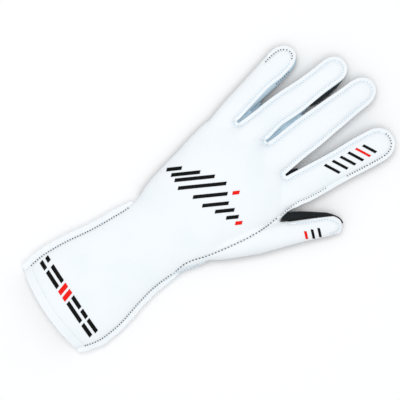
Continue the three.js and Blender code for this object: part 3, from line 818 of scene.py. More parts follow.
# Where the palm's suede ends, and the wrist elastic over that edge
PALM_EDGE = CUFF_LENGTH + 0.05 * PALM_LENGTH
ELASTIC_X = -0.14 * WRIST_WIDTH
ELASTIC_LOW = PALM_EDGE - 0.5 * ELASTIC_LENGTH
ELASTIC_HIGH = PALM_EDGE + 0.5 * ELASTIC_LENGTH


def beyond_edge(x, y):
    """How far a place lies outside the back's stitches, negative inside them."""
    path = SKIN["edge_path"]
    _, number, distance = SKIN["edge_tree"].find((x, y, 0.0))
    before = path[max(number - 1, 0)]
    after = path[min(number + 1, len(path) - 1)]
    return distance if side_of(before, after, (x, y)) < 0.0 else -distance


def panel_of(centre):
    """The panel that a place on the skin belongs to."""
    x, y, z = centre
    on_thumb = y > SEAM_POINTS[0][1] and x > seam_x(y)
    if z > seam_height(y):
        if on_thumb:
            return "thumb_gusset" if inside(GUSSET_OUTLINE, (x, y)) else "thumb_back"
        for name, zone in FOURCHETTES.items():
            if inside(zone, (x, y)):
                beyond = beyond_edge(x, y)
                if beyond > 1.2 or (z < FOURCHETTE_TOP and beyond > -0.8):
                    return name
        return "back_panel"
    if on_thumb and y > ELASTIC_HIGH:
        return "thumb_palm"
    if x > ELASTIC_X and ELASTIC_LOW < y < ELASTIC_HIGH:
        return "wrist_elastic"
    return "palm_panel" if y > PALM_EDGE else "cuff_palm"


def cut_seams(bm):
    """Cuts the skin along its seams, so that each panel's edge is clean."""
    cut(bm, (0, 0, CUFF_SEAM), (0, 0, 1), lambda c: c.y < SLOPE_START and abs(c.z - CUFF_SEAM) < 2)
    cut(bm, (0, SLOPE_START, CUFF_SEAM), (0, CUFF_SEAM - HAND_SEAM, SLOPE_END - SLOPE_START),
        lambda c: SLOPE_START < c.y < SLOPE_END and 3 < c.z < 10)
    cut(bm, (0, 0, HAND_SEAM), (0, 0, 1), lambda c: c.y > SLOPE_END and abs(c.z - HAND_SEAM) < 2)
    for zone in FOURCHETTES.values():
        cut(bm, (0, 0, FOURCHETTE_TOP), (0, 0, 1),
            lambda c: abs(c.z - FOURCHETTE_TOP) < 2 and inside(zone, (c.x, c.y)))
        for a, b in ((zone[0], zone[3]), (zone[1], zone[2])):
            middle = ((a[0] + b[0]) / 2, (a[1] + b[1]) / 2, 0.0)
            reach = 0.25 * math.dist(a, b)
            cut(bm, middle, (b[1] - a[1], a[0] - b[0], 0.0),
                lambda c: HAND_SEAM < c.z < FOURCHETTE_TOP and math.dist(c[:2], b) < reach)
    for a, b in zip(SEAM_POINTS, SEAM_POINTS[1:]):
        cut(bm, (*a, 0.0), (b[1] - a[1], a[0] - b[0], 0.0),
            lambda c: a[1] < c.y < b[1] and abs(c.x - seam_x(c.y)) < 3)
    for level in (PALM_EDGE, ELASTIC_LOW, ELASTIC_HIGH):
        cut(bm, (0, level, 0), (0, 1, 0), lambda c: c.z < CUFF_SEAM and abs(c.y - level) < 3)
    cut(bm, (ELASTIC_X, 0, 0), (1, 0, 0),
        lambda c: c.z < CUFF_SEAM and abs(c.x - ELASTIC_X) < 3 and abs(c.y - PALM_EDGE) < 9)
    for a, b in zip(GUSSET_EDGE, GUSSET_EDGE[1:]):
        cut(bm, (*a, 0.0), (b[1] - a[1], a[0] - b[0], 0.0), lambda c: c.z > HAND_SEAM
            and a[1] - 2 < c.y < b[1] + 3 and c.x > seam_x(c.y)
            and abs(side_of(a, b, c)) < 3 * math.dist(a, b))


# Skin: shared by every panel, and by what lies on it

SKIN = {}


def fold_push(x, y, z):
    """Slow unevenness of cloth lying loose."""
    broad = noise.noise(Vector((x * 0.03, y * 0.03, z * 0.03)))
    fine = noise.noise(Vector((x * 0.09 + 7.0, y * 0.07, z * 0.08)))
    return 0.9 * broad + 0.35 * fine


def gather_push(x, y, z):
    """Ridges of the gathered elastic at the wrist, and the creases that run out of it."""
    if z > CUFF_SEAM or x < ELASTIC_X - 1.0:
        return 0.0
    sway = noise.noise(Vector((x * 0.2, y * 0.12, 4.0)))
    ridge = math.sin(2.0 * math.pi * (x + 0.8 * z) / 3.1 + 2.0 * sway)
    inner = min(1.0, max(0.0, (0.5 * ELASTIC_LENGTH - abs(y - PALM_EDGE)) / 1.5))
    outer = math.exp(-(max(0.0, abs(y - PALM_EDGE) - 0.5 * ELASTIC_LENGTH) / 7.0) ** 2)
    return 0.4 * ridge * inner + 0.22 * ridge * outer * (1.0 - inner)


def build_skin(settings):
    """Makes the skin, draws its seams in, folds it and cuts it along its seams."""
    bm = voxel_skin(settings.voxel)
    relax(bm, 5)
    # Opens the glove at the hem, by taking away what the lofts have before it
    cut(bm, (0, 0, 0), (0, -1, 0), lambda c: c.y < 5, clear_outer=True)
    bm.normal_update()
    SKIN["edge_path"] = smooth_path(back_path(settings.lip), 0.5)
    SKIN["thumb_edge"] = smooth_path([row[:2] for row in THUMB_STITCHES], 0.5)
    tree = tree_of(SKIN["edge_path"] + SKIN["thumb_edge"])
    pushes = []
    for vert in bm.verts:
        x, y, z = vert.co
        push = settings.folds * fold_push(x, y, z) * min(1.0, max(z - 1.5, 0.0) / 4.0)
        push += gather_push(x, y, z)
        if vert.normal.z > 0.2 and z > CUFF_SEAM:
            _, _, near = tree.find((x, y, 0.0))
            push -= settings.groove * math.exp(-(near / 0.9) ** 2)
            push -= 0.5 * settings.groove * math.exp(-(near / 3.0) ** 2)
            push -= 0.25 * math.exp(-((y - HEM_FOLD) / 0.8) ** 2)
            if y < HEM_FOLD:
                push += 0.2
        pushes.append(push)
    for vert, push in zip(bm.verts, pushes):
        vert.co += vert.normal * push
        x, y, _ = vert.co
        if y < CUFF_LENGTH:
            left, right, bow = [read_table(BODY, max(y, 0.0), column) for column in (1, 2, 5)]
            vert.co.y += min(bow, 0.0) * (1.0 - min(1.0, (x / max(left, right)) ** 2))
        vert.co.z = max(vert.co.z, CUFF_REST)
    bm.normal_update()
    SKIN["tree"] = BVHTree.FromBMesh(bm)
    cut_seams(bm)
    SKIN["mesh"] = bm
    SKIN["edge_tree"] = tree_of(SKIN["edge_path"])


def top_at(x, y, fallback=8.0):
    """Height and slope of the skin's upper side at a place."""
    hit, normal, _, _ = SKIN["tree"].ray_cast(Vector((x, y, 60.0)), Vector((0.0, 0.0, -1.0)))
    if hit is None:
        return fallback, Vector((0.0, 0.0, 1.0))
    return hit.z, normal


def bottom_at(x, y, fallback=PALM_REST):
    """Height of the skin's underside at a place."""
    hit, _, _, _ = SKIN["tree"].ray_cast(Vector((x, y, -20.0)), Vector((0.0, 0.0, 1.0)))
    return fallback if hit is None or hit.z > 6.0 else hit.z


def build_panels(settings):
    """Parts the skin into its panels and gives each its thickness."""
    bm = SKIN["mesh"]
    looks = {
        "back_panel": ("white", "white_cloth"), "cuff_palm": ("white", "white_cloth"),
        "palm_panel": ("slate", "slate_suede"), "thumb_palm": ("slate", "slate_suede"),
        "thumb_back": ("white", "white_cloth"), "thumb_gusset": ("black_cloth", "black_cloth"),
        "wrist_elastic": ("elastic", "white_elastic"),
    }
    # Side walls take the pale blue-grey cloth: painted shade of the white cloth between the fingers
    for name in FOURCHETTES:
        looks[name] = ("side", "grey_white_cloth")
    names = list(looks)
    label = bm.faces.layers.int.new("panel")
    for face in bm.faces:
        face[label] = names.index(panel_of(face.calc_center_median()))
    for number, name in enumerate(names):
        part = bm.copy()
        layer = part.faces.layers.int["panel"]
        gone = [face for face in part.faces if face[layer] != number]
        bmesh.ops.delete(part, geom=gone, context="FACES")
        obj = mesh_object(name + "_cloth", part)
        look, slot = looks[name]
        add_thickness(obj, settings.cloth)
        finish_piece(obj, look, [name])


# Lips, stitches and hem

# Places along the glove where the lip starts, where the seam's own stitches reach the index
# finger, where the small ones beside it sink in and where the large ones come up
LIP_START = 178.0
FINGER_START, SUNK_END, RISEN_START = 176.0, 216.5, 232.5
# Points of the path whose stitches are painted near black, as shadow of their needle holes, past the index
# finger's tip, and at the pinky's end
DARK_PAST_TIP = 10
DARK_TAIL = 62
# Points at the start of the thumb's and the cuff's paths without stitches, and where the cuff's
# stitches end along the glove
THUMB_STITCHES_SKIP = 8
CUFF_STITCHES_SKIP = 18
CUFF_STITCHES_END = 89.0
# Height of a stitch's middle over the path, in millimetres
STITCH_LIFT = 0.6


def ribbon(bm, path, start, end, low, high, drop, lift, widths=((0.0, 1.0), (1.0, 1.0))):
    """A strip beside a path from one offset to another, narrowing over a share at each end."""
    shares, factors = zip(*widths)
    last = len(path) - 1
    verts = []
    for vert, share, across in add_grid(bm, last, 3):
        column = round(share * last)
        share = column / last
        fade = min(1.0, share / max(low, 1e-6), (1.0 - share) / max(high, 1e-6))
        reach = (end - start) * float(np.interp(share, shares, factors))
        point = path[column] + outward_at(path, column) * (start + reach * across * fade)
        vert.co = Vector((point.x, point.y, point.z + lift - drop * across))
        verts.append(vert)
    return verts


def lip_object(name, bm, thickness, rounding, node):
    """Turns strips of white cloth into a piece with soft edges."""
    bmesh.ops.recalc_face_normals(bm, faces=bm.faces)
    obj = mesh_object(name, bm)
    add_thickness(obj, thickness, 0.0)
    round_edges(obj, rounding)
    finish_piece(obj, "white", [node])


def lift_path(path, rounds=6):
    """Puts a path on the skin and evens out its height."""
    heights = evened([top_at(point.x, point.y)[0] for point in path], rounds)
    return [Vector((point.x, point.y, height)) for point, height in zip(path, heights)]


def build_lips(settings):
    """Cloth outside the stitches: round the fingers, round the thumb's tip and up the cuff."""
    path = lift_path(SKIN["edge_path"])
    bm = bmesh.new()
    ribbon(bm, path[first_beyond(path, LIP_START):], -0.3, settings.lip + 0.15, 0.02, 0.01, 0.7, 0.1)
    lip_object("back_seam_lip", bm, 0.9, 0.25, "back_panel")
    bm = bmesh.new()
    widths = [(i / (len(THUMB_STITCHES) - 1), row[2]) for i, row in enumerate(THUMB_STITCHES)]
    ribbon(bm, lift_path(SKIN["thumb_edge"]), 0.3, -0.7, 0.12, 0.12, 0.7, 0.1, widths)
    lip_object("thumb_seam_lip", bm, 0.9, 0.25, "thumb_back")
    for side, name, width in ((1, "thumb", 3.6), (-1, "pinky", 4.4)):
        path = smooth_path(cuff_side_path(side), 0.5)
        path = [Vector((point.x, point.y, CUFF_SEAM + 0.2)) for point in path]
        bm = bmesh.new()
        widths = ((0.0, 1.0), (0.88, 0.95), (1.0, 0.6))
        for vert in ribbon(bm, path, -side * 1.6, side * width, 0.0, 0.01, 0.5, 0.0, widths):
            x, y, _ = vert.co
            vert.co.z += 0.7 * noise.noise(Vector((x * 0.05, y * 0.22 + side * 3.0, 0.0)))
            if side > 0:
                vert.co.x += 0.55 * noise.noise(Vector((1.0, y * 0.13 + 5.0, 0.0)))
        lip_object(f"cuff_{name}_side_lip", bm, 2.0, 0.5, "back_panel")


def build_gusset():
    """The black strip on the thumb's inner side, which shows as an edge round its tip."""
    strip = [
        (0.5 * (x1 + x2), 0.5 * (y1 + y2), 0.5 * math.dist((x1, y1), (x2, y2)), z)
        for x1, y1, x2, y2, z in GUSSET_STRIP]
    middle = smooth_path([row[:2] for row in strip], 0.6)
    lengths = [0.0]
    for a, b in zip(strip, strip[1:]):
        lengths.append(lengths[-1] + math.dist(a[:2], b[:2]))
    rings = []
    for i, point in enumerate(middle):
        place = lengths[-1] * i / (len(middle) - 1)
        half = float(np.interp(place, lengths, [row[2] for row in strip]))
        height = float(np.interp(place, lengths, [row[3] for row in strip]))
        centre = Vector((point.x, point.y, height))
        rings.append(oval(centre, outward_at(middle, i) * half, 0.6 * half + 1.3, 20))
    bm = bmesh.new()
    tube(bm, rings)
    solid_object("thumb_gusset_edge", bm, "black_cloth", ["thumb_gusset"])


# Side walls that bulge into the gap between two fingers: x, y, half width, height of the top
FINGER_WEBS = {
    ("middle", "index"): [
        (13.8, 196.0, 1.6, 7.4), (14.6, 200.0, 2.0, 6.4), (15.2, 204.0, 2.2, 5.0),
        (15.8, 208.5, 1.4, 3.6)],
    ("pinky", "ring"): [
        (-38.1, 188.0, 2.0, 8.6), (-38.6, 193.0, 2.4, 8.2), (-39.3, 199.0, 2.6, 7.6),
        (-39.6, 206.0, 2.4, 6.8), (-40.6, 213.0, 1.2, 5.4)],
    ("ring", "middle"): [
        (-14.6, 198.0, 2.0, 8.8), (-15.3, 204.0, 2.6, 8.4), (-16.2, 213.0, 2.8, 8.0),
        (-17.4, 223.0, 2.6, 7.6), (-18.6, 233.0, 2.2, 7.0), (-19.6, 242.0, 1.2, 6.0)],
}
# Palm suede that shows beside the ring finger, in the same columns
RING_SUEDE = [
    (-18.3, 240.5, 0.5, 6.6), (-18.1, 244.5, 1.3, 7.2), (-18.3, 249.5, 1.7, 7.4),
    (-18.7, 254.5, 1.8, 7.4), (-19.2, 260.0, 1.7, 7.4), (-19.9, 265.5, 1.4, 7.2),
    (-20.8, 269.8, 0.9, 6.8), (-21.8, 272.4, 0.4, 6.4),
]
# Height of the lower side of every fold
FOLD_FOOT = 2.5


def fold_object(name, node, look, rows):
    """An upright fold of cloth along a row of places."""
    middle = smooth_path([row[:2] for row in rows], 0.8)
    shares = [i / (len(rows) - 1) for i in range(len(rows))]
    rings = []
    for i, point in enumerate(middle):
        share = i / (len(middle) - 1)
        half = float(np.interp(share, shares, [row[2] for row in rows]))
        top = float(np.interp(share, shares, [row[3] for row in rows]))
        top += 0.4 * noise.noise(Vector((point.y * 0.15, 3.0, 0.0)))
        centre = Vector((point.x, point.y, 0.5 * (top + FOLD_FOOT)))
        rings.append(oval(centre, Vector((half, 0.0, 0.0)), 0.5 * (top - FOLD_FOOT), 20))
    bm = bmesh.new()
    tube(bm, rings)
    solid_object(name, bm, look, [node])


def build_webs():
    """Loose cloth of the side walls, pushed out between fingers that lie close."""
    for (first, second), rows in FINGER_WEBS.items():
        name = f"fourchette_{first}_{second}"
        # The folds take the side walls' pale blue-grey, which is painted shade. The one between the middle
        # and the index finger lies deep and takes the dark rim suede: a painted shadow that shows as a dark
        # line
        look = "rim" if second == "index" else "side"
        fold_object(name + "_fold", name, look, rows)
    fold_object("palm_suede_fold", "palm_panel", "rim", RING_SUEDE)


# Wrist elastic: places along the thumb side of the wrist, and how far out and up each row lies
ELASTIC_EDGE = [
    (28.6, 88.0), (28.2, 92.0), (28.3, 96.0), (29.2, 100.0), (30.4, 105.0), (31.6, 110.0),
    (33.4, 115.0)]
ELASTIC_ROWS = [(1.6, -2.2), (0.5, -0.5), (-0.8, 0.4)]


def build_elastic():
    """The scrunched edge of the wrist's elastic, in three rows of small gathers."""
    bm = bmesh.new()
    for row, (outward, raised) in enumerate(ELASTIC_ROWS):
        path = offset_path(smooth_path(ELASTIC_EDGE, 0.15), outward)
        rings = []
        for i, point in enumerate(path):
            share = i / (len(path) - 1)
            swell = min(1.0, 5.0 * share, 5.0 * (1.0 - share))
            jitter = noise.noise(Vector((point.y * 0.35, 2.0 * row, 0.0)))
            wave = math.sin(2.0 * math.pi * point.y / 1.9 + 1.9 * row + 2.2 * jitter)
            height = min(top_at(point.x, point.y, 7.5)[0], 10.5) + raised
            ring = []
            for k in range(16):
                turn = 2.0 * math.pi * k / 16
                rough = 0.5 * noise.noise(Vector((point.y * 0.9, turn, 3.0 * row)))
                reach = (1.0 + 0.6 * wave + rough) * swell + 0.15
                ring.append(Vector((
                    point.x + reach * math.cos(turn), point.y + 0.3 * jitter * math.sin(turn),
                    height + 1.15 * reach * math.sin(turn))))
            rings.append(ring)
        tube(bm, rings)
    solid_object("wrist_elastic_edge", bm, "elastic", ["wrist_elastic"])


# Prints

# Bars across the cuff's back: corner x and y, length, width, colour
CUFF_BARS = [
    (-32.5, 13.0, 6.5, 3.0, "black"), (-33.2, 18.2, 4.0, 3.0, "black"),
    (-24.0, 13.0, 14.0, 3.0, "black"), (-25.5, 18.2, 14.0, 3.0, "black"),
    (-8.0, 13.0, 3.6, 8.2, "red"), (-2.6, 13.0, 3.6, 8.2, "red"),
    (3.0, 13.0, 17.0, 3.0, "black"), (1.4, 18.2, 10.0, 3.0, "black"),
    (13.2, 18.2, 6.6, 3.0, "black"), (22.2, 13.0, 10.5, 3.0, "black"), (21.4, 18.2, 11.0, 3.0, "black"),
]


def bar_outline(x, y, length, width):
    """A bar with slanted ends."""
    slant = 0.3 * width
    return [(x, y), (x + length, y), (x + length - slant, y + width), (x - slant, y + width)]


def turned(outline, centre, degrees):
    """An outline turned and moved to a centre."""
    turn = math.radians(degrees)
    cosine = math.cos(turn)
    sine = math.sin(turn)
    return [
        (centre[0] + cosine * x - sine * y, centre[1] + sine * x + cosine * y) for x, y in outline]


def print_patch(bm, outline, under):
    """A thin printed patch between four corners, laid on the cloth."""
    a, b, c, d = [Vector((*corner, 0.0)) for corner in outline]
    columns = max(2, int((b - a).length / CELL))
    rows = max(2, int((d - a).length / CELL))
    for vert, across, along in add_grid(bm, columns, rows):
        place = a.lerp(b, across).lerp(d.lerp(c, across), along)
        height, normal = top_at(place.x, place.y)
        if under:
            height = max(bottom_at(place.x, place.y), CUFF_REST)
            normal = Vector((0.0, 0.0, -1.0))
        vert.co = Vector((place.x, place.y, height)) + normal * PRINT_LIFT


def print_object(name, outlines, look, under=False):
    """Turns printed patches into a piece, on the back or on the underside."""
    bm = bmesh.new()
    for outline in outlines:
        print_patch(bm, outline, under)
    bmesh.ops.recalc_face_normals(bm, faces=bm.faces)
    obj = mesh_object(name, bm)
    add_thickness(obj, 0.12, 1.0)
    finish_piece(obj, look, [])


# Slanted stripes on the hand, the index finger and the thumb: width and turn in degrees of a
# group, and the middle, length and colour of each stripe in it
STRIPES = [
    (2.6, 62.0, [
        (-35.0, 132.5, 12.0, "black"), (-27.5, 137.5, 22.0, "black"), (-21.0, 141.0, 30.0, "black"),
        (-13.5, 142.5, 36.0, "black"), (-4.5, 143.5, 26.0, "black"), (4.2, 160.0, 6.0, "red"),
        (3.0, 143.0, 20.0, "black"), (10.5, 146.0, 15.0, "black"), (17.5, 148.0, 10.0, "black"),
        (23.5, 149.5, 6.0, "red")]),
    (2.0, 28.0, [
        (28.8, 228.0, 13.0, "black"), (29.5, 234.4, 13.0, "black"), (30.2, 240.8, 13.0, "black"),
        (30.8, 247.2, 13.0, "black"), (31.8, 258.6, 11.5, "black")]),
    (1.7, 28.0, [(31.3, 253.2, 12.5, "red")]),
    (1.9, -20.0, [
        (60.4, 190.0, 7.5, "black"), (62.2, 194.6, 7.5, "black"), (58.2, 185.4, 6.5, "red")]),
]


def stripe_outline(centre, length, width, degrees):
    """A stripe with slanted ends, turned round its middle."""
    slant = 0.35 * width
    flat = [
        (-0.5 * length, -0.5 * width), (0.5 * length - slant, -0.5 * width),
        (0.5 * length, 0.5 * width), (-0.5 * length + slant, 0.5 * width)]
    return turned(flat, centre, degrees)


def build_prints():
    """Plain stripes: bars on the cuff, slanted lines on the hand, index finger and thumb."""
    outlines = {"black": [], "red": []}
    for x, y, length, width, colour in CUFF_BARS:
        outlines[colour].append(bar_outline(x, y, length, width))
    for width, turn, rows in STRIPES:
        for x, y, length, colour in rows:
            outlines[colour].append(stripe_outline((x, y), length, width, turn))
    print_object("black_print_stripes", outlines["black"], "print_black")
    print_object("red_print_stripes", outlines["red"], "print_red")


# Stitches: length and radius of each kind, in millimetres
DASH = (1.2, 0.24)
DOT = (1.0, 0.48)
SEAM_STITCH = (1.4, 0.38)
SMALL_DOT = (0.85, 0.34)
# The hem's row: its ends across the cuff, and half the width that its bow is drawn over
HEM_ROW = (-33.0, 34.0)
HEM_REACH = 34.0


def stitch_template(length, radius):
    """One stitch: a ball drawn out to its length."""
    bm = bmesh.new()
    bmesh.ops.create_uvsphere(bm, u_segments=6, v_segments=4, radius=radius)
    bmesh.ops.rotate(bm, verts=bm.verts, cent=(0, 0, 0), matrix=Matrix.Rotation(math.pi / 2, 3, "Y"))
    for vert in bm.verts:
        if abs(vert.co.x) > 1e-6:
            vert.co.x += math.copysign(0.5 * length - radius, vert.co.x)
        vert.co.z *= 0.8
    mesh = bpy.data.meshes.new("stitch")
    bm.to_mesh(mesh)
    bm.free()
    return mesh


def stitch_row(bm, template, path, pitch, lift):
    """Stitches one behind another along a path that lies on the cloth."""
    travelled = 0.0
    for before, after in zip(path, path[1:]):
        travelled += (after - before).length
        if travelled < pitch:
            continue
        travelled = 0.0
        along = (after - before).normalized()
        side = Vector((0, 0, 1)).cross(along).normalized()
        up = along.cross(side)
        matrix = Matrix((along, side, up)).transposed().to_4x4()
        matrix.translation = after + up * lift
        start = len(bm.verts)
        bm.from_mesh(template)
        bm.verts.ensure_lookup_table()
        bmesh.ops.transform(bm, matrix=matrix, verts=bm.verts[start:])


def build_stitches(settings):
    """Rows of stitches on the back's edge, the thumb, the cuff's sides and the hem."""
    dash = stitch_template(*DASH)
    dot = stitch_template(*DOT)
    pale = bmesh.new()
    dark = bmesh.new()
    white = bmesh.new()
    edge = lift_path(SKIN["edge_path"], 3)
    finger = first_beyond(edge, FINGER_START)
    sunk_end = first_beyond(edge, SUNK_END)
    risen = first_beyond(edge, RISEN_START)
    tip_place = from_tip("index", 0.0, 0.0)
    tip = min(range(len(edge)), key=lambda i: math.dist(edge[i][:2], tip_place))
    # Stitches in the seam, on the pinky's side wall and up the cuff take thread painted near black: painted
    # shadow of their needle holes
    stitch_row(dark, stitch_template(*SEAM_STITCH), edge[:finger], 2.1, STITCH_LIFT)
    stitch_row(dark, stitch_template(*SMALL_DOT), edge[finger:sunk_end], 2.0, STITCH_LIFT)
    stitch_row(dark, dot, edge[risen:tip + DARK_PAST_TIP], 2.0, STITCH_LIFT)
    stitch_row(pale, dash, edge[tip + DARK_PAST_TIP + 4:-DARK_TAIL - 2], settings.pitch, STITCH_LIFT)
    stitch_row(dark, dot, edge[-DARK_TAIL:], settings.pitch, STITCH_LIFT)
    wall = smooth_path(finger_side("pinky", 1, 1.5, 0.69, 0.86, 6, False), 0.25)
    stitch_row(dark, dot, lift_path(wall, 3), 1.9, 0.1)
    thumb = lift_path(SKIN["thumb_edge"], 3)[THUMB_STITCHES_SKIP:]
    stitch_row(pale, dash, thumb, settings.pitch, STITCH_LIFT)
    for side in (1, -1):
        row = smooth_path(cuff_side_path(side), 0.25)
        row = lift_path([Vector((point.x - side * 0.5, point.y, 0.0)) for point in row], 9)
        row = [
            Vector((point.x, point.y, max(point.z, CUFF_SEAM + 1.3)))
            for point in row if point.y < CUFF_STITCHES_END]
        stitch_row(dark, dot, row[CUFF_STITCHES_SKIP:], 1.95, 0.8)
    row = np.linspace(*HEM_ROW, 15)
    hem = smooth_path([(x, HEM_FOLD - HEM_BOW * (1.0 - (x / HEM_REACH) ** 2)) for x in row], 0.25)
    stitch_row(white, dash, lift_path(hem, 0), 1.8, 0.12)
    under = [
        Vector((point.x, point.y, max(bottom_at(point.x, point.y), 0.4)))
        for point in hem if abs(point.x) < 30.0]
    stitch_row(white, dash, under, 1.8, -0.12)
    # White thread painted pale blue: painted shade on the stitches
    finish_piece(mesh_object("pale_stitches", pale), "pale_thread", [])
    finish_piece(mesh_object("stitches_painted_shadow", dark), "thread_painted_shadow", [])
    finish_piece(mesh_object("hem_stitches", white), "white_thread", [])


# Palm side

# Thickness of a grip, then lengths, widths and gaps, all in millimetres
GRIP = 0.9
PAD_LENGTH, PAD_WIDTH, PAD_MARGIN, PAD_GROOVE = 26.0, 15.0, 4.5, 0.6
LADDER_LENGTH, LADDER_WIDTH, LADDER_GAP, RIB_PITCH, RIB_WIDTH = 22.0, 11.0, 4.0, 1.6, 0.8
LADDER_SHARES = {"pinky": 0.62, "thumb": 0.5}
# How deep a pad's edge is let into the cloth, thickness of a ladder's plate, radius of its ribs
PAD_SINK, PLATE, RIB_RADIUS = 0.3, 0.35, 0.42
CAPSULES = [
    ("capsule_inner", "white_grip"), ("capsule_middle", "red_grip"), ("capsule_outer", "white_grip")]
# Steps from capsule to capsule, their radius and half of their straight part
CAPSULE_STEP_X, CAPSULE_STEP_Y, CAPSULE_RADIUS, CAPSULE_STRAIGHT = 6.4, 0.9, 2.5, 3.75
# Overlays: name, look, pitch of their holes, corners as shares of knuckle width and palm length
PALM_OVERLAYS = [
    ("palm_band_red", "red_grip", 3.4, [
        (0.11, 0.93), (0.11, 1.12), (-0.12, 1.12), (-0.12, 0.985), (-0.19, 0.965), (-0.2, 1.1),
        (-0.36, 1.08), (-0.365, 0.89), (-0.43, 0.87), (-0.45, 0.99), (-0.55, 0.97), (-0.53, 0.84)]),
    ("palm_field_white", "white_grip", 3.6, [
        (0.18, 1.12), (0.37, 1.12), (0.365, 0.8), (0.34, 0.55), (0.16, 0.5), (0.02, 0.58),
        (0.03, 0.86), (0.155, 0.9)]),
    ("palm_heel_red", "red_grip", 4.4, [
        (-0.28, 0.83), (-0.46, 0.79), (-0.405, 0.5), (-0.33, 0.28), (-0.2, 0.26), (-0.2, 0.55)]),
]
# Red slanted stripes on the palm side of the cuff: width, turn, and the middle and length of each
CUFF_PALM_STRIPES = (4.2, 60.0, [
    (-14.0, 34.0, 26.0), (-5.0, 39.0, 38.0), (5.0, 42.0, 34.0), (14.0, 43.0, 18.0)])


def rounded(outline, amount=0.16):
    """An outline with its corners cut back twice."""
    for _ in range(2):
        points = []
        for a, b in zip(outline, outline[1:] + outline[:1]):
            points.append((a[0] + (b[0] - a[0]) * amount, a[1] + (b[1] - a[1]) * amount))
            points.append((b[0] + (a[0] - b[0]) * amount, b[1] + (a[1] - b[1]) * amount))
        outline = points
    return outline


def nearest_on(outline, x, y):
    """Nearest place on a closed outline, and its distance."""
    best = (1e9, (x, y))
    for a, b in zip(outline, outline[1:] + outline[:1]):
        dx, dy = b[0] - a[0], b[1] - a[1]
        t = ((x - a[0]) * dx + (y - a[1]) * dy) / max(dx * dx + dy * dy, 1e-9)
        t = max(0.0, min(1.0, t))
        place = (a[0] + dx * t, a[1] + dy * t)
        best = min(best, (math.dist(place, (x, y)), place))
    return best


def pad_object(name, outline, thickness, edge, look, nodes):
    """A pad under the skin that fills an outline, with a rounded edge let into the cloth."""
    bm = bmesh.new()
    xs, ys = zip(*outline)
    columns = max(3, int((max(xs) - min(xs)) / CELL))
    rows = max(3, int((max(ys) - min(ys)) / CELL))
    for vert, across, along in add_grid(bm, columns, rows):
        vert.co.x = min(xs) + across * (max(xs) - min(xs))
        vert.co.y = min(ys) + along * (max(ys) - min(ys))
    gone = [face for face in bm.faces if not inside(outline, face.calc_center_median()[:2])]
    bmesh.ops.delete(bm, geom=gone, context="FACES")
    for vert in bm.verts:
        x, y, _ = vert.co
        distance, place = nearest_on(outline, x, y)
        if vert.is_boundary:
            x, y = place
            distance = 0.0
        share = 1.0 - min(distance / edge, 1.0)
        profile = math.sqrt(max(0.0, 1.0 - share * share))
        depth = (thickness + PAD_SINK) * profile - PAD_SINK
        vert.co = Vector((x, y, max(bottom_at(x, y) - depth, 0.08)))
    turn_faces_down(bm)
    obj = mesh_object(name, bm)
    add_thickness(obj, 0.35)
    finish_piece(obj, look, nodes)


def grip_scale(name):
    """Share by which grips shrink on a finger narrower than the ring finger."""
    return min(1.0, FINGERS[name][4] / FINGERS["ring"][4])


def tip_pad_outlines(name):
    """The two halves of a fingertip pad: a drop, parted by a groove bent like a V."""
    half_length = 0.5 * PAD_LENGTH * grip_scale(name)
    half = min(0.5 * PAD_WIDTH * grip_scale(name), 0.88 * (half_width(name, 0.86) - 2.8))
    middle = PAD_MARGIN + half_length
    tip, root = [], []
    for side in (1, -1):
        for angle in np.linspace(0.0, math.pi, 25)[::side]:
            taper = 1.0 + 0.12 * math.cos(angle)
            back = middle - half_length * math.cos(angle)
            across = side * half * taper * math.sin(angle)
            bend = 0.45 * half_length * (1.0 - abs(across) / (1.4 * half))
            groove = middle - 0.25 * half_length + bend
            if back < groove:
                tip.append((back, across))
            if back > groove + PAD_GROOVE:
                root.append((back, across))
    apex = middle + 0.2 * half_length
    tip_split = next(i for i in range(1, len(tip)) if tip[i][1] < -0.1 and tip[i - 1][1] > 0.1)
    tip.insert(tip_split, (apex, 0.0))
    root.append((apex + PAD_GROOVE, 0.0))
    return [[from_tip(name, *place) for place in outline] for outline in (tip, root)]


def build_tip_pads():
    """Two-part pads on the fingertips, white on three fingers, black and red on the others."""
    for name in FINGERS:
        looks = ("white_grip", "white_grip")
        if name in ("index", "thumb"):
            looks = ("black_grip", "red_grip")
        for part, outline, look in zip(("outer", "inner"), tip_pad_outlines(name), looks):
            node = f"tip_pad_{name}_{part}"
            pad_object(node + "_cap", outline, GRIP, 1.1, look, [node])


def build_ladders():
    """A ladder of fine ribs on a thin plate in the middle of each finger."""
    for name in FINGERS:
        along = Vector((*place_of(name)[1], 0.0))
        scale = grip_scale(name)
        start = PAD_MARGIN + PAD_LENGTH * scale + LADDER_GAP
        length = LADDER_LENGTH * LADDER_SHARES.get(name, 1.0)
        half = 0.5 * LADDER_WIDTH * scale
        node = f"grip_ribs_{name}"
        plate = [
            from_tip(name, start - 0.5, -half), from_tip(name, start - 0.5, half),
            from_tip(name, start + length + 0.3, half), from_tip(name, start + length + 0.3, -half)]
        pad_object(node + "_plate", rounded(plate, 0.1), PLATE, 0.6, "black_grip", [node])
        bm = bmesh.new()
        for i in range(int((length - RIB_WIDTH) / RIB_PITCH) + 1):
            back = start + i * RIB_PITCH + 0.5 * RIB_WIDTH
            rings = []
            for offset in np.linspace(-half + 0.3, half - 0.3, 9):
                x, y = from_tip(name, back, offset)
                radius = RIB_RADIUS * (0.55 if abs(offset) > half - 0.5 else 1.0)
                middle = Vector((x, y, max(bottom_at(x, y) - RIB_RADIUS, 0.5)))
                rings.append(oval(middle, along * radius, radius, 10))
            tube(bm, rings)
        solid_object(node + "_bars", bm, "black_grip", [node])


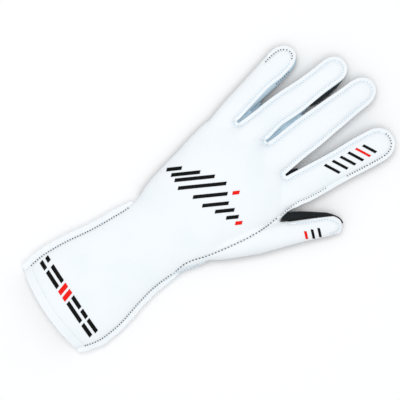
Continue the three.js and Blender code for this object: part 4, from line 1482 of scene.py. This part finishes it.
def overlay_outlines():
    """Overlays on the palm and the thumb: name, look, pitch of their holes, outline."""
    found = []
    for name, look, pitch, corners in PALM_OVERLAYS:
        outline = [(x * KNUCKLE_WIDTH, CUFF_LENGTH + y * PALM_LENGTH) for x, y in corners]
        found.append((name, look, pitch, rounded(outline)))
    length = FINGERS["thumb"][2] * PALM_LENGTH
    width = FINGERS["thumb"][4]
    start = PAD_MARGIN + PAD_LENGTH + LADDER_GAP + 0.5 * LADDER_LENGTH + LADDER_GAP
    ball = 0.745 * length
    thumb = [
        (start, -0.25 * width), (start, 0.25 * width), (ball, 0.19 * width), (0.8 * length, 0.0),
        (ball, -0.19 * width)]
    outline = rounded([from_tip("thumb", *place) for place in thumb])
    return found + [("thumb_base_white", "white_grip", 3.6, outline)]


def build_overlays():
    """Thin overlays on the palm and the thumb, with rows of small holes drawn as flat discs of painted
    shade.
    """
    holes = bmesh.new()
    for name, look, pitch, outline in overlay_outlines():
        pad_object(name + "_cap", outline, GRIP - 0.1, 0.8, look, [name])
        xs, ys = zip(*outline)
        for row, y in enumerate(np.arange(min(ys), max(ys), 0.87 * pitch)):
            for x in np.arange(min(xs) + 0.5 * pitch * (row % 2), max(xs), pitch):
                distance, _ = nearest_on(outline, x, y)
                if inside(outline, (x, y)) and distance > 1.9:
                    height = max(bottom_at(x, y) - GRIP + 0.06, 0.03)
                    place = Matrix.Translation((x, y, height))
                    bmesh.ops.create_circle(holes, cap_ends=True, segments=10, radius=0.5, matrix=place)
    turn_faces_down(holes)
    obj = mesh_object("perforations", holes)
    add_thickness(obj, 0.1)
    finish_piece(obj, "hole", [])


def build_capsules():
    """Three small capsules under the knuckles, on a dark patch."""
    centre_x = CAPSULE_PLACE[0] * KNUCKLE_WIDTH
    centre_y = CUFF_LENGTH + CAPSULE_PLACE[1] * PALM_LENGTH
    for step, (name, look) in enumerate(CAPSULES):
        x = centre_x - CAPSULE_STEP_X * step
        y = centre_y - CAPSULE_STEP_Y * step
        outline = []
        for end, shift in enumerate((CAPSULE_STRAIGHT, -CAPSULE_STRAIGHT)):
            for angle in np.linspace(math.pi * end, math.pi * (end + 1), 12):
                outline.append((
                    x + CAPSULE_RADIUS * math.cos(angle), y + shift + CAPSULE_RADIUS * math.sin(angle)))
        pad_object(name + "_cap", outline, GRIP + 0.1, 2.0, look, [name])
    corners = [(3.9, 8.4), (3.9, -8.0), (-16.7, -9.8), (-16.7, 6.2)]
    base = [(centre_x + x, centre_y + y) for x, y in corners]
    pad_object("capsule_base", rounded(base, 0.2), 0.3, 1.0, "rim", [])


def cord_under(bm, path, wide, deep, sunk):
    """A rounded strip along a path on the skin's underside, closing slowly at its ends."""
    heights = evened([bottom_at(point.x, point.y, 3.5) for point in path], 4)
    rings = []
    for i, point in enumerate(path):
        centre = Vector((point.x, point.y, max(heights[i] + sunk, deep + 0.05)))
        full = math.sqrt(min(1.0, (min(i, len(path) - 1 - i) + 0.3) / 6.0))
        rings.append(oval(centre, outward_at(path, i) * (full * wide), full * deep, 12))
    tube(bm, rings)


def build_rims():
    """Dark rims round the finger palms, piping up the cuff and the stripes between them."""
    for name, points, node in (
            ("palm_rim", rim_path(), "palm_panel"), ("thumb_rim", thumb_rim_path(), "thumb_palm")):
        bm = bmesh.new()
        cord_under(bm, smooth_path(points, 0.7), 1.2, 0.75, 0.1)
        solid_object(name, bm, "rim", [node])
    bm = bmesh.new()
    for side, column in ((1, 2), (-1, 1)):
        points = [(side * (read_table(BODY, y, column) - 3.4), y) for y in np.linspace(3.0, 86.0, 12)]
        cord_under(bm, smooth_path(points, 0.8), 0.45, 0.45, 0.0)
    solid_object("cuff_piping", bm, "black_cloth", ["cuff_palm"])
    width, turn, rows = CUFF_PALM_STRIPES
    outlines = [stripe_outline((x, y), length, width, turn) for x, y, length in rows]
    print_object("cuff_palm_stripes", outlines, "print_red", under=True)


# Stage

# Half the floor in millimetres, and how far it lies under the glove, in metres
FLOOR_REACH = 3000.0
FLOOR_DROP = 0.00005
# Sky of the studio: a pale, slightly cool white
SKY_COLOUR = (0.975, 0.985, 1.0, 1.0)
SKY_STRENGTH = 0.68
# Lights: name, place and size in metres, watts
LIGHTS = [("key_light", (-0.33, 0.05, 1.5), 0.6, 6.0), ("fill_light", (0.34, -0.1, 1.5), 0.7, 4.15)]
# Camera straight above the glove: place in metres, turn in degrees, sensor in millimetres
CAMERA_PLACE = (-0.00795, -0.00755, 1.2)
CAMERA_TURN = 56.2
SENSOR = 36.0
# Way from the camera down to the glove's middle height, and how much the picture holds there, in
# metres
CAMERA_REACH = 1.19
PICTURE_WIDTH = 0.292


def build_stage():
    """The floor, the sky, two soft lights and the camera."""
    bm = bmesh.new()
    bmesh.ops.create_grid(bm, x_segments=1, y_segments=1, size=FLOOR_REACH)
    floor = mesh_object("floor", bm, smooth=False)
    floor.data.materials.append(MATERIALS["floor"])
    for vert in floor.data.vertices:
        vert.co.z = -FLOOR_DROP
    world = bpy.data.worlds.new("studio")
    world.use_nodes = True
    background = world.node_tree.nodes["Background"]
    background.inputs["Color"].default_value = SKY_COLOUR
    background.inputs["Strength"].default_value = SKY_STRENGTH
    bpy.context.scene.world = world
    for name, place, size, power in LIGHTS:
        data = bpy.data.lights.new(name, "AREA")
        data.size = size
        data.energy = power
        lamp = bpy.data.objects.new(name, data)
        lamp.location = place
        lamp.rotation_euler = Vector(place).to_track_quat("Z", "Y").to_euler()
        bpy.context.scene.collection.objects.link(lamp)
    data = bpy.data.cameras.new("camera")
    data.sensor_width = SENSOR
    data.lens = SENSOR * CAMERA_REACH / PICTURE_WIDTH
    camera = bpy.data.objects.new("camera", data)
    camera.location = CAMERA_PLACE
    camera.rotation_euler = (0.0, 0.0, math.radians(CAMERA_TURN))
    bpy.context.scene.collection.objects.link(camera)
    bpy.context.scene.camera = camera
    bpy.context.scene.view_settings.view_transform = "Standard"


# Add-on

class GloveSettings(bpy.types.PropertyGroup):
    """Sizes and colours of the glove that a user may change."""
    voxel: bpy.props.FloatProperty(
        name="Skin cell", description="Cell of the remeshed skin, in millimetres", default=0.9, min=0.6)
    cloth: bpy.props.FloatProperty(
        name="Cloth thickness", description="Thickness of a panel, in millimetres", default=1.2, min=0.5)
    lip: bpy.props.FloatProperty(
        name="Seam lip", description="Width of the cloth outside the stitches, in millimetres", default=2.5)
    groove: bpy.props.FloatProperty(
        name="Seam depth", description="How deep stitches pull the cloth in, in millimetres", default=0.5)
    folds: bpy.props.FloatProperty(
        name="Unevenness", description="Height of the slow folds, in millimetres", default=0.7)
    pitch: bpy.props.FloatProperty(
        name="Stitch pitch", description="Distance from stitch to stitch, in millimetres", default=2.0)
    white: bpy.props.FloatVectorProperty(
        name="White cloth", description="Colour of the back", subtype="COLOR", size=3,
        default=linear("#f3f6f8")[:3])
    slate: bpy.props.FloatVectorProperty(
        name="Palm suede", description="Colour of the palm", subtype="COLOR", size=3,
        default=linear("#4b565d")[:3])
    red: bpy.props.FloatVectorProperty(
        name="Red grips", description="Colour of the red grips", subtype="COLOR", size=3,
        default=linear("#e8371f")[:3])


def need_panels():
    """Stops a step that lies on the cloth while there is no cloth yet."""
    if not SKIN:
        raise RuntimeError("Build the cloth panels first")


class GLOVE_OT_panels(bpy.types.Operator):
    """Builds the cloth panels of the glove"""
    bl_idname = "glove.panels"
    bl_label = "Cloth panels"

    def execute(self, context):
        settings = context.scene.glove
        make_materials(settings)
        build_skin(settings)
        build_panels(settings)
        return {"FINISHED"}


class GLOVE_OT_seams(bpy.types.Operator):
    """Adds the seam lips and the stitches"""
    bl_idname = "glove.seams"
    bl_label = "Seams and stitches"

    def execute(self, context):
        need_panels()
        build_lips(context.scene.glove)
        build_stitches(context.scene.glove)
        return {"FINISHED"}


class GLOVE_OT_gathers(bpy.types.Operator):
    """Adds the thumb's gusset edge and the wrist's gathered elastic"""
    bl_idname = "glove.gathers"
    bl_label = "Gusset and elastic"

    def execute(self, context):
        need_panels()
        build_gusset()
        build_webs()
        build_elastic()
        return {"FINISHED"}


class GLOVE_OT_prints(bpy.types.Operator):
    """Adds the printed stripes on the back"""
    bl_idname = "glove.prints"
    bl_label = "Printed stripes"

    def execute(self, context):
        need_panels()
        build_prints()
        return {"FINISHED"}


class GLOVE_OT_grips(bpy.types.Operator):
    """Adds the silicone grips and the trims on the palm side"""
    bl_idname = "glove.grips"
    bl_label = "Palm grips"

    def execute(self, context):
        need_panels()
        build_tip_pads()
        build_ladders()
        build_overlays()
        build_capsules()
        build_rims()
        return {"FINISHED"}


class GLOVE_OT_stage(bpy.types.Operator):
    """Adds the floor, the lights and the camera"""
    bl_idname = "glove.stage"
    bl_label = "Stage"

    def execute(self, context):
        need_panels()
        build_stage()
        return {"FINISHED"}


class GLOVE_PT_panel(bpy.types.Panel):
    """Sidebar panel of the glove"""
    bl_label = "Karting glove"
    bl_idname = "GLOVE_PT_panel"
    bl_space_type = "VIEW_3D"
    bl_region_type = "UI"
    bl_category = "Karting glove"

    def draw(self, context):
        for name in GloveSettings.__annotations__:
            self.layout.prop(context.scene.glove, name)
        for operator in OPERATORS:
            self.layout.operator(operator.bl_idname)


OPERATORS = [
    GLOVE_OT_panels, GLOVE_OT_seams, GLOVE_OT_gathers, GLOVE_OT_prints, GLOVE_OT_grips,
    GLOVE_OT_stage,
]
CLASSES = [GloveSettings, *OPERATORS, GLOVE_PT_panel]


def register():
    for item in CLASSES:
        bpy.utils.register_class(item)
    bpy.types.Scene.glove = bpy.props.PointerProperty(type=GloveSettings)


def unregister():
    del bpy.types.Scene.glove
    for item in reversed(CLASSES):
        bpy.utils.unregister_class(item)


def main():
    """Builds the whole glove."""
    register()
    bpy.ops.glove.panels()
    bpy.ops.glove.seams()
    bpy.ops.glove.gathers()
    bpy.ops.glove.prints()
    bpy.ops.glove.grips()
    bpy.ops.glove.stage()


if __name__ == "__main__":
    main()
